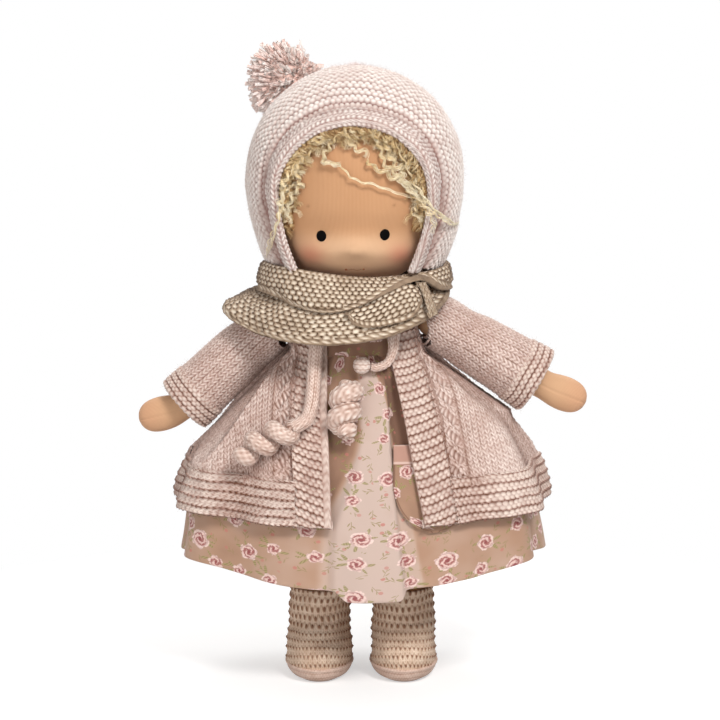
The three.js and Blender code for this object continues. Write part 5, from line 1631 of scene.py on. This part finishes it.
# %% [markdown]
# ## Scarf
# The scarf is a long garter stitch strip with a chain edge. It lies in two layers: a wide one spread over the
# shoulders like a collar, and a narrow one stood up round the neck. Its end is drawn through a loop at the
# side.

# %% Scarf shapes
scarf_radius, scarf_rise, scarf_inner = 58.0, 36.0, 38.0
upper_rows = [
    [-180, 1, 0.945, 1.035, 0.56], [-90, 1, 0.96, 1.05, 0.57], [-75, 1, 0.985, 1.04, 0.56],
    [-60, 0.99, 0.97, 1.02, 0.54], [-45, 0.95, 0.94, 1, 0.44], [-30, 0.85, 0.88, 0.98, 0.35],
    [-12, 0.785, 0.83, 0.965, 0.33], [5, 0.78, 0.815, 0.96, 0.444], [20, 0.79, 0.825, 0.93, 0.6],
    [35, 0.83, 0.85, 0.92, 0.72], [48, 0.9, 0.88, 0.96, 0.765], [62, 0.97, 0.9, 1, 0.61],
    [75, 1, 0.935, 1.02, 0.57], [90, 1, 0.945, 1.03, 0.56], [180, 1, 0.945, 1.035, 0.56],
]
lower_rows = [
    [-180, 0.877, 0.579, 1, 0.52], [-130, 0.877, 0.579, 1.12, 0.47], [-105, 0.877, 0.579, 1.3, 0.36],
    [-83, 0.877, 0.579, 1.38, 0.222], [-61, 0.877, 0.57, 1.25, 0.01], [-30, 0.825, 0.47, 1.15, -0.13],
    [-15, 0.807, 0.43, 1.08, -0.16], [0, 0.807, 0.43, 1.04, -0.145], [20, 0.82, 0.47, 1.045, -0.04],
    [48, 0.86, 0.55, 1.053, 0.21], [65, 0.877, 0.579, 1.035, 0.39], [90, 0.877, 0.579, 1, 0.53],
    [130, 0.877, 0.579, 0.98, 0.53], [180, 0.877, 0.579, 1, 0.52],
]
tab_rows = [
    [-5, 0.92, 0.33, 0.985, 0.25], [-2, 0.92, 0.39, 1.01, 0.14], [4, 0.92, 0.41, 1.04, 0.08],
    [12, 0.92, 0.48, 1.05, 0.08], [20, 0.925, 0.57, 1.055, 0.12], [32, 0.935, 0.67, 1.065, 0.2],
    [39, 0.945, 0.7, 1.05, 0.3], [42.5, 0.96, 0.66, 1.03, 0.42],
]
strap_rows = [[45, 0.95, 0.72, 1.12, 0.2], [50.5, 0.965, 0.72, 1.115, 0.24]]

# %% Scarf surfaces
def scarf_place(turn, radius, height):
    return np.stack([body_lean + radius * np.sin(turn), -radius * np.cos(turn), height + 0 * turn], -1)


def layer_surface(rows, turn_from, turn_to, crown=0.0):
    def surface(u, v, depth):
        degrees = mix(turn_from, turn_to, u)
        top, top_rise, foot, foot_rise = (through(rows, degrees, k) for k in (1, 2, 3, 4))
        round_out = crown * np.sin(np.pi * held(v))
        radius = scarf_radius * mix(top, foot, v) - depth + round_out
        height = shoulder_height + scarf_rise * mix(top_rise, foot_rise, v)
        return scarf_place(np.radians(degrees), radius, height)
    return surface


def collar_surface(u, v, depth):
    degrees = mix(-180, 180, u)
    ring, ring_rise, edge, edge_rise = (through(lower_rows, degrees, k) for k in (1, 2, 3, 4))
    ring, edge = scarf_radius * ring, scarf_radius * edge
    ring_rise, edge_rise = scarf_rise * ring_rise, scarf_rise * edge_rise
    slope = np.arctan2(ring_rise - edge_rise, edge - ring)
    flat = v < 0.5
    along = np.where(flat, 2 * v, 2 * v - 1)
    tilt = np.where(flat, slope / 2 * along, mix(slope / 2, slope, np.minimum(2 * along, 1)))
    radius = np.where(flat, mix(scarf_inner, ring, along), mix(ring, edge, along))
    rise = np.where(flat, ring_rise, mix(ring_rise, edge_rise, along))
    belly = 1.4 * np.sin(np.pi * held(along)) * ~flat
    return scarf_place(np.radians(degrees), radius - (depth - belly) * np.sin(tilt),
                       shoulder_height + rise - (depth - belly) * np.cos(tilt))

# %% Scarf stitches
def scarf_stitch(s, t):
    """Large bumps in rows that lock into each other, as garter stitch in a thick cotton has."""
    return garter(s, t, 4.3, 5.8, seed=61, apart=0.5, round_at=(0.5, 0.27))


def scarf_folds(seed, depth):
    return lambda s, t, base: depth * (ripples(s, t * 0.4, 38, seed) + 0.5 * ripples(s, t, 15, seed + 1))


collar_down = 46.0


def with_rope(s, edge, width, inner):
    """Height and shade of a strip with a rope of links along its edge, which stands proud of the rest."""
    rope = chain(s, np.clip(edge, 0, width), 4.8, width)
    ply = np.where(edge < 0, 0.4, np.where(edge < width, rope**1.4, inner))
    return np.where(edge < width, 1.6 * rope, inner), ply


def collar_stitch(s, t):
    edge = t.max(0)[None, :] - t - rolled_length(3.6, 5) + 1.6
    return with_rope(s, edge, 4.4, scarf_stitch(s, edge))


def stand_stitch(s, t):
    edge = t.max(0)[None, :] - t - rolled_length(3.8, 6) + 1.4
    return with_rope(s, edge, 3.8, scarf_stitch(s, t))


def tab_stitch(s, t):
    ends = np.minimum(t.max(0)[None, :] - t, s - s.min(1)[:, None])
    return with_rope(s + t, ends - rolled_length(3.2, 3) + 1.2, 3.2, scarf_stitch(s, t))

# %% Scarf pieces
fabric("scarf_collar", collar_surface, (390, collar_down), 3.6, collar_stitch, 1.5, scarf_yarn, "torso",
       ["scarf_lower"], step=0.78, tuck=5, closed=True, folds=scarf_folds(62, 0.8),
       sheet=("draped", ["knit_back"]))
fabric("scarf_stand", layer_surface(upper_rows, -180, 180, 1.2), (360, 17), 3.8, stand_stitch, 1.4,
       scarf_yarn, "torso", ["scarf_upper"], step=0.72, tuck=6, closed=True,
       folds=scarf_folds(64, 0.5), sheet=("draped", ["scarf_collar"]))
fabric("scarf_end_tab", layer_surface(tab_rows, -5, 42.5, 1.5), (52, 20), 3.2, tab_stitch, 1.4, scarf_yarn,
       "torso", ["scarf_tab"], step=0.55, tuck=3, sheet=("laid", ["scarf_collar"]))
fabric("scarf_strap", layer_surface(strap_rows, 45, 50.5, 0.6), (5.6, 19), 2.4,
       lambda s, t: stocking(s, t, 2.9, 3.4, 66), 1.5, scarf_yarn, "torso", ["scarf_loop"],
       step=0.45, tuck=2)

# %% [markdown]
# ## Boots
# The boots are knitted in an openwork stitch: rows of small holes, painted darker inside: painted shade.
# The sole is small garter stitch in pinkish yarn, and a ridge marks where it was picked up.

# %% Boots
sole_rows = [[0, 0.66, 0.76], [0.25, 0.85, 0.9], [0.6, 0.96, 0.97], [1, 1, 1]]
boot_rows = [
    [0, 1, 1, 1], [0.12, 1, 0.99, 1], [0.28, 0.93, 0.84, 0.82], [0.42, 0.6, 0.5, 0.5], [0.58, 0.25, 0.2, 0.2],
    [0.78, 0.05, 0.04, 0.04], [1, 0, 0, 0],
]
boot_height, sole_height, boot_half_width, boot_half_length, boot_leg = 52.0, 9.0, 20.4, 31.0, 18.6

# %% Boot surfaces
def boot_section(z):
    low = z < sole_height
    share = held((z - sole_height) / (boot_height - sole_height))
    sole = z / sole_height
    wide = np.where(low, boot_half_width * through(sole_rows, sole, 1),
                    mix(boot_leg, boot_half_width, through(boot_rows, share, 1)))
    long = np.where(low, boot_half_length * through(sole_rows, sole, 2),
                    mix(boot_leg, boot_half_length, through(boot_rows, share, 2)))
    return wide, long, foot_ahead * np.where(low, 1, through(boot_rows, share, 3))


def boot_surface(x, z_from, z_to):
    def surface(u, v, depth):
        turn = (u - 0.5) * 2 * np.pi
        z = mix(z_from, z_to, v)
        wide, long, slide = boot_section(z)
        across, ahead = (wide - depth) * np.sin(turn), (long - depth) * np.cos(turn)
        return np.stack([x + across, slide - ahead, z + 0 * u], -1)
    return surface


def boot_folds(seed):
    def folds(s, t, base):
        ankle = hill(base[..., 2], 30, 6)
        return 0.55 * ripples(s, t, 26, seed) + 0.7 * ankle * np.sin(s / 9.0 + seed)
    return folds


def boot_stitch(s, t):
    """Crochet: posts with small slots round the leg, and tighter rows with a ridge each over the foot."""
    slots = openwork(s, t, 4.4, 5.4, 0.66, seed=71)
    rows = openwork(s, t, 3.0, 5.4, 0.4, seed=71)
    return mix(slots, rows, smooth(t, 25, 28))

# %% Boot and sole pieces
for side, x in (("left", -leg_apart), ("right", leg_apart)):
    seed = 70 if x < 0 else 80
    fabric(f"knit_boot_{side}", boot_surface(x, boot_height, sole_height - 0.4), (150, 58), 2.6,
           boot_stitch, 1.1, boot_yarn, f"leg_{side}", [f"boot_{side}"],
           step=0.6, closed=True, tuck=5, folds=boot_folds(seed))
    run = np.linspace(0, 1, 26)
    z = np.concatenate([np.full(14, 0.0), sole_height * (1 - np.cos(run * np.pi / 2))])
    shrink = np.concatenate([np.linspace(0.03, 0.97, 14), np.ones(26)])
    wide, long, slide = boot_section(z)
    sole = oval_rings(z, x, slide, wide * shrink, long * shrink, 260)
    around_mm = np.broadcast_to(turns(260)[None, :] * 26, sole.shape[:2])
    ply = 0.35 + 0.5 * garter(around_mm, z[:, None] + 0 * around_mm, 2.3, 3.2, 72)
    lip = hill(z, 8.2, 0.9)[:, None]
    out = (0.35 * ply + 0.6 * lip) * smooth(z, 0.5, 2.5)[:, None]
    centre = np.stack([x + 0 * z, slide], -1)[:, None]
    apart = sole[..., :2] - centre
    sole[..., :2] = centre + apart * (1 + out / np.maximum(np.linalg.norm(apart, axis=2), 1))[..., None]
    loft(f"knit_sole_{side}", sole, sole_yarn, f"leg_{side}", [f"boot_sole_{side}"], {"ply": ply})

# %% [markdown]
# ## Ties
# The ties are knitted cords, sewn to the neck corners of the fronts. Each ends in a crocheted corkscrew: more
# stitches than the cord has room for, so it winds up. The left one lies down its front and out to the side.
# The right one crosses to a small knot, where its curl hangs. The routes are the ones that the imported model
# follows.

# %% Tie routes
left_route = [
    [-25.5, -30.8, 229], [-26, -32, 220], [-26.8, -33.4, 210], [-27.6, -36, 200], [-28.3, -39.8, 190],
    [-29, -45.2, 180], [-30.2, -51, 171.5], [-32.6, -56, 166], [-36.5, -58.4, 163.5], [-40, -57.8, 161.6],
]
right_route = [
    [19, -29.6, 229], [19.3, -31.2, 220], [19.5, -32.8, 211], [18.6, -34.2, 203], [15.5, -35.8, 197],
    [9.5, -36.8, 194.2], [5.6, -37.1, 194.7],
]
knot_place = np.array([0.2, -37.4, 195.6])

# %% Cords and curls
def smooth_line(points, count):
    points = np.asarray(points, float)
    run = run_along(points)
    return curve_through(run, points, np.linspace(0, run[-1], count))


def cord_stitch(s, t):
    ply = stocking(s, t, 2.9, 2.6, 91)
    return 0.75 * ply, ply


def curl_stitch(s, t):
    ply = stocking(s, t, 3.6, 2.7, 92)
    return 1.1 * ply - 0.3, ply


def curl_line(ends, turn_count, radius, count, lead):
    start, end = (np.asarray(p, float) for p in ends)
    axis = end - start
    across = np.cross([0, 1, 0], axis)
    across /= np.linalg.norm(across)
    beside = np.cross(axis / np.linalg.norm(axis), across)
    share = np.linspace(0, 1, count)
    ease = smooth(np.minimum(share, 1 - share) * turn_count, 0, 0.5)
    turn = share * turn_count * 2 * np.pi
    straight = lead / np.linalg.norm(axis)
    place = start + axis * mix(straight, 1 - straight, share)[:, None]
    return place + radius * ease[:, None] * (across * np.cos(turn)[:, None] + beside * np.sin(turn)[:, None])


def knot_stitch(s, t):
    ply = garter(s, t, 2.6, 3.1, 93)
    return 0.4 * ply, 0.25 + 0.75 * ply

# %% Knot, curls and ties
tilt = np.linspace(-1.5, 1.5, 40)
knot_line = knot_place + np.outer(5.2 * np.sin(tilt), [0, 0, 1])
knot = tube("tie_knot_ball", knot_line, 5.0 * np.cos(tilt), tie_yarn, "torso", ["tie_knot"], sides=48,
            bumps=knot_stitch)
curls = {
    "left": ([[-34.0, -59.6, 165.5], [-79, -53, 141]], 3.0, 4.4, 4.5),
    "right": ([[-7.0, -42.4, 193.0], [-12.5, -63.4, 151.5]], 2.75, 4.4, 5.6),
}
curl_pieces = {}
for side, (ends, turn_count, radius, thick) in curls.items():
    line = curl_line(ends, turn_count, radius, 190, thick * 1.1)
    share = np.linspace(0, 1, 190)
    taper = thick * np.sqrt(np.clip(np.minimum(share * 9, (1 - share) * 9), 0.02, 1))
    curl_pieces[side] = tube(f"corkscrew_{side}", line, taper, tie_yarn, "torso", [f"tie_curl_{side}"],
                             sides=28, bumps=curl_stitch)
for side, route, thick, width in (("left", left_route, 3.9, 7.8), ("right", right_route, 2.8, 5.6)):
    line = smooth_line(route, 150)
    taper = mix(thick, 2.0, smooth(np.linspace(0, 1, 150), 0.45, 0.75)) if side == "right" else thick
    tie = tube(f"tie_cord_{side}", line, taper, tie_yarn, "torso", [f"tie_{side}"], sides=40,
               bumps=cord_stitch)
    on_it = [curl_pieces[side]] + ([knot] if side == "right" else [])
    to_row(route[0])
    to_row(line)

# %% [markdown]
# ## Loose fibres
# Mohair sheds fine fibres over every surface. They soften the outline and catch the light at its edge, which
# no surface finish can do. A few thousand hair-thin ribbons, rooted on each knitted mesh, are enough.

# %% Fuzz
cardigan_fibre = fuzz_finish("cardigan_fibre", "cardigan_wool", "c9a79c", "efdcd3")
bonnet_fibre = fuzz_finish("bonnet_fibre", "bonnet_wool", "c9a8a2", "ead6d0")
scarf_fibre = fuzz_finish("scarf_fibre", "scarf_wool", "b8a48b", "e0d3c0")


def ribbons(name, roots, ways, lengths, width, material, body, seed, bend=0.7, bits=3):
    """Many thin flat fibres. Each leaves its root along its way and curls a little to one side."""
    own = np.random.default_rng(seed)
    count = len(roots)
    ways = unit(ways)
    aside = unit(np.cross(ways, own.normal(size=(count, 3))))
    curl = np.cross(ways, aside) * own.uniform(-1, 1, (count, 1)) * bend
    share = np.linspace(0, 1, bits + 1)[None, :, None]
    line = roots[:, None] + lengths[:, None, None] * (ways[:, None] * share + curl[:, None] * share**2)
    half = width / 2 * (1 - 0.6 * share) * aside[:, None]
    points = np.stack([line - half, line + half], 2).reshape(-1, 3)
    start = (np.arange(count) * (bits + 1) * 2)[:, None] + np.arange(bits)[None, :] * 2
    faces = np.stack([start, start + 1, start + 3, start + 2], -1).reshape(-1, 4)
    tone = np.repeat(own.uniform(0, 1, count), (bits + 1) * 2)
    new_piece(name, points, faces, material, {"ply": tone}, body)


def fuzz(name, sources, count, length, material, body, seed):
    own = np.random.default_rng(seed)
    roots, ways = [], []
    sizes = np.array([len(bpy.data.objects[n].data.polygons) for n in sources], float)
    for source, share in zip(sources, sizes / sizes.sum()):
        mesh = bpy.data.objects[source].data
        centres, normals = (np.empty(len(mesh.polygons) * 3) for _ in range(2))
        mesh.polygons.foreach_get("center", centres)
        mesh.polygons.foreach_get("normal", normals)
        pick = own.integers(0, len(mesh.polygons), int(count * share))
        roots.append(centres.reshape(-1, 3)[pick] / MM - frame_offset)
        ways.append(normals.reshape(-1, 3)[pick])
    roots, ways = np.concatenate(roots), np.concatenate(ways)
    ways = ways * 0.75 + own.normal(scale=0.55, size=ways.shape)
    lengths = length * own.uniform(0.4, 1.2, len(roots))
    ribbons(name, roots - 0.1 * ways, ways, lengths, 0.1, material, body, seed)


fuzz("fibres_cardigan", ["knit_back", "knit_front_left", "knit_front_right", "knit_hem"], 15000, 3.0,
     cardigan_fibre, "torso", 101)
fuzz("fibres_bands", ["knit_band_left", "knit_band_right"], 2500, 2.4, cardigan_fibre, "torso", 102)
for side in sleeves:
    fuzz(f"fibres_sleeve_{side}", [f"knit_sleeve_{side}", f"knit_cuff_{side}"], 4000, 3.0, cardigan_fibre,
         f"arm_{side}", 103)
fuzz("fibres_bonnet", ["knit_bonnet", "knit_bonnet_edge"], 12000, 2.8, bonnet_fibre, "head", 104)
fuzz("fibres_scarf", ["scarf_collar", "scarf_stand", "scarf_end_tab", "scarf_strap"], 4500, 2.0, scarf_fibre,
     "torso", 105)

# %% [markdown]
# ## Floor and light
# The floor and the world are plain white to the camera. A soft lamp stands high in front on the right, and a
# broader, weaker one fills from the left, so the wool's relief shows. Three lamps behind the doll light its
# outline.

# %% Floor
floor_mesh = bpy.data.meshes.new("floor")
floor_mesh.from_pydata([(-4, -4, 0), (4, -4, 0), (4, 4, 0), (-4, 4, 0)], [], [(0, 1, 2, 3)])
floor = bpy.data.objects.new("floor", floor_mesh)
bpy.context.scene.collection.objects.link(floor)
paper = Finish("floor_paper", roughness=0.95)
paper.shader.inputs["Base Color"].default_value = (0.62, 0.62, 0.62, 1)
paper.shader.inputs["Specular IOR Level"].default_value = 0.0
seen = paper.seen_directly()
glow = paper.mix(seen, (0, 0, 0), (0.5, 0.5, 0.5))
paper.link(glow, paper.shader.inputs["Emission Color"])
paper.shader.inputs["Emission Strength"].default_value = 1.0
ground = paper.node("ShaderNodeVectorMath", {"operation": "LENGTH"}, [paper.position()], "Value")
far = ((ground - 0.22) * 6).share() * seen
plain_white = paper.node("ShaderNodeEmission", {}, {"Color": (1, 1, 1, 1), "Strength": 1.0})
surface = paper.node("ShaderNodeMixShader", {}, [far])
paper.tree.links.new(paper.shader.outputs[0], surface.socket.node.inputs[1])
paper.link(plain_white, surface.socket.node.inputs[2])
paper.link(surface, paper.tree.nodes["Material Output"].inputs["Surface"])
floor_mesh.materials.append(paper.material)

# %% Light
world = bpy.data.worlds.new("studio")
bpy.context.scene.world = world
world.use_nodes = True
sky = Nodes(world.node_tree)
soft_light = sky.tree.nodes["Background"]
soft_light.inputs["Color"].default_value = (1.0, 0.96, 0.93, 1)
soft_light.inputs["Strength"].default_value = 0.36
backdrop = sky.node("ShaderNodeBackground", {}, {"Color": (1, 1, 1, 1), "Strength": 1.0})
either = sky.node("ShaderNodeMixShader", {}, [sky.seen_directly()])
sky.tree.links.new(soft_light.outputs[0], either.socket.node.inputs[1])
sky.link(backdrop, either.socket.node.inputs[2])
sky.link(either, sky.tree.nodes["World Output"].inputs["Surface"])

# %% Lamps
def lamp(name, place, size, power, tint):
    data = bpy.data.lights.new(name, "AREA")
    data.size, data.energy, data.color = size, power, tint
    made = bpy.data.objects.new(name, data)
    made.location = place
    made.rotation_euler = (aim - Vector(place)).to_track_quat("-Z", "Y").to_euler()
    bpy.context.scene.collection.objects.link(made)
    print(name, "lamp", power, "W")


lamp("key", (0.5, -1.1, 1.2), 0.4, 17.5, (1.0, 0.99, 0.975))
lamp("fill", (-0.55, -1.4, 0.3), 0.8, 8.2, (1.0, 0.98, 0.96))
lamp("back", (0.1, 1.0, 1.4), 0.8, 10.0, (1.0, 1.0, 1.0))
lamp("rim_left", (-1.0, 0.8, 1.1), 0.8, 4.0, (1.0, 1.0, 1.0))
lamp("rim_right", (1.0, 0.8, 1.1), 0.8, 4.0, (1.0, 1.0, 1.0))
bpy.context.scene.view_settings.view_transform = "Standard"
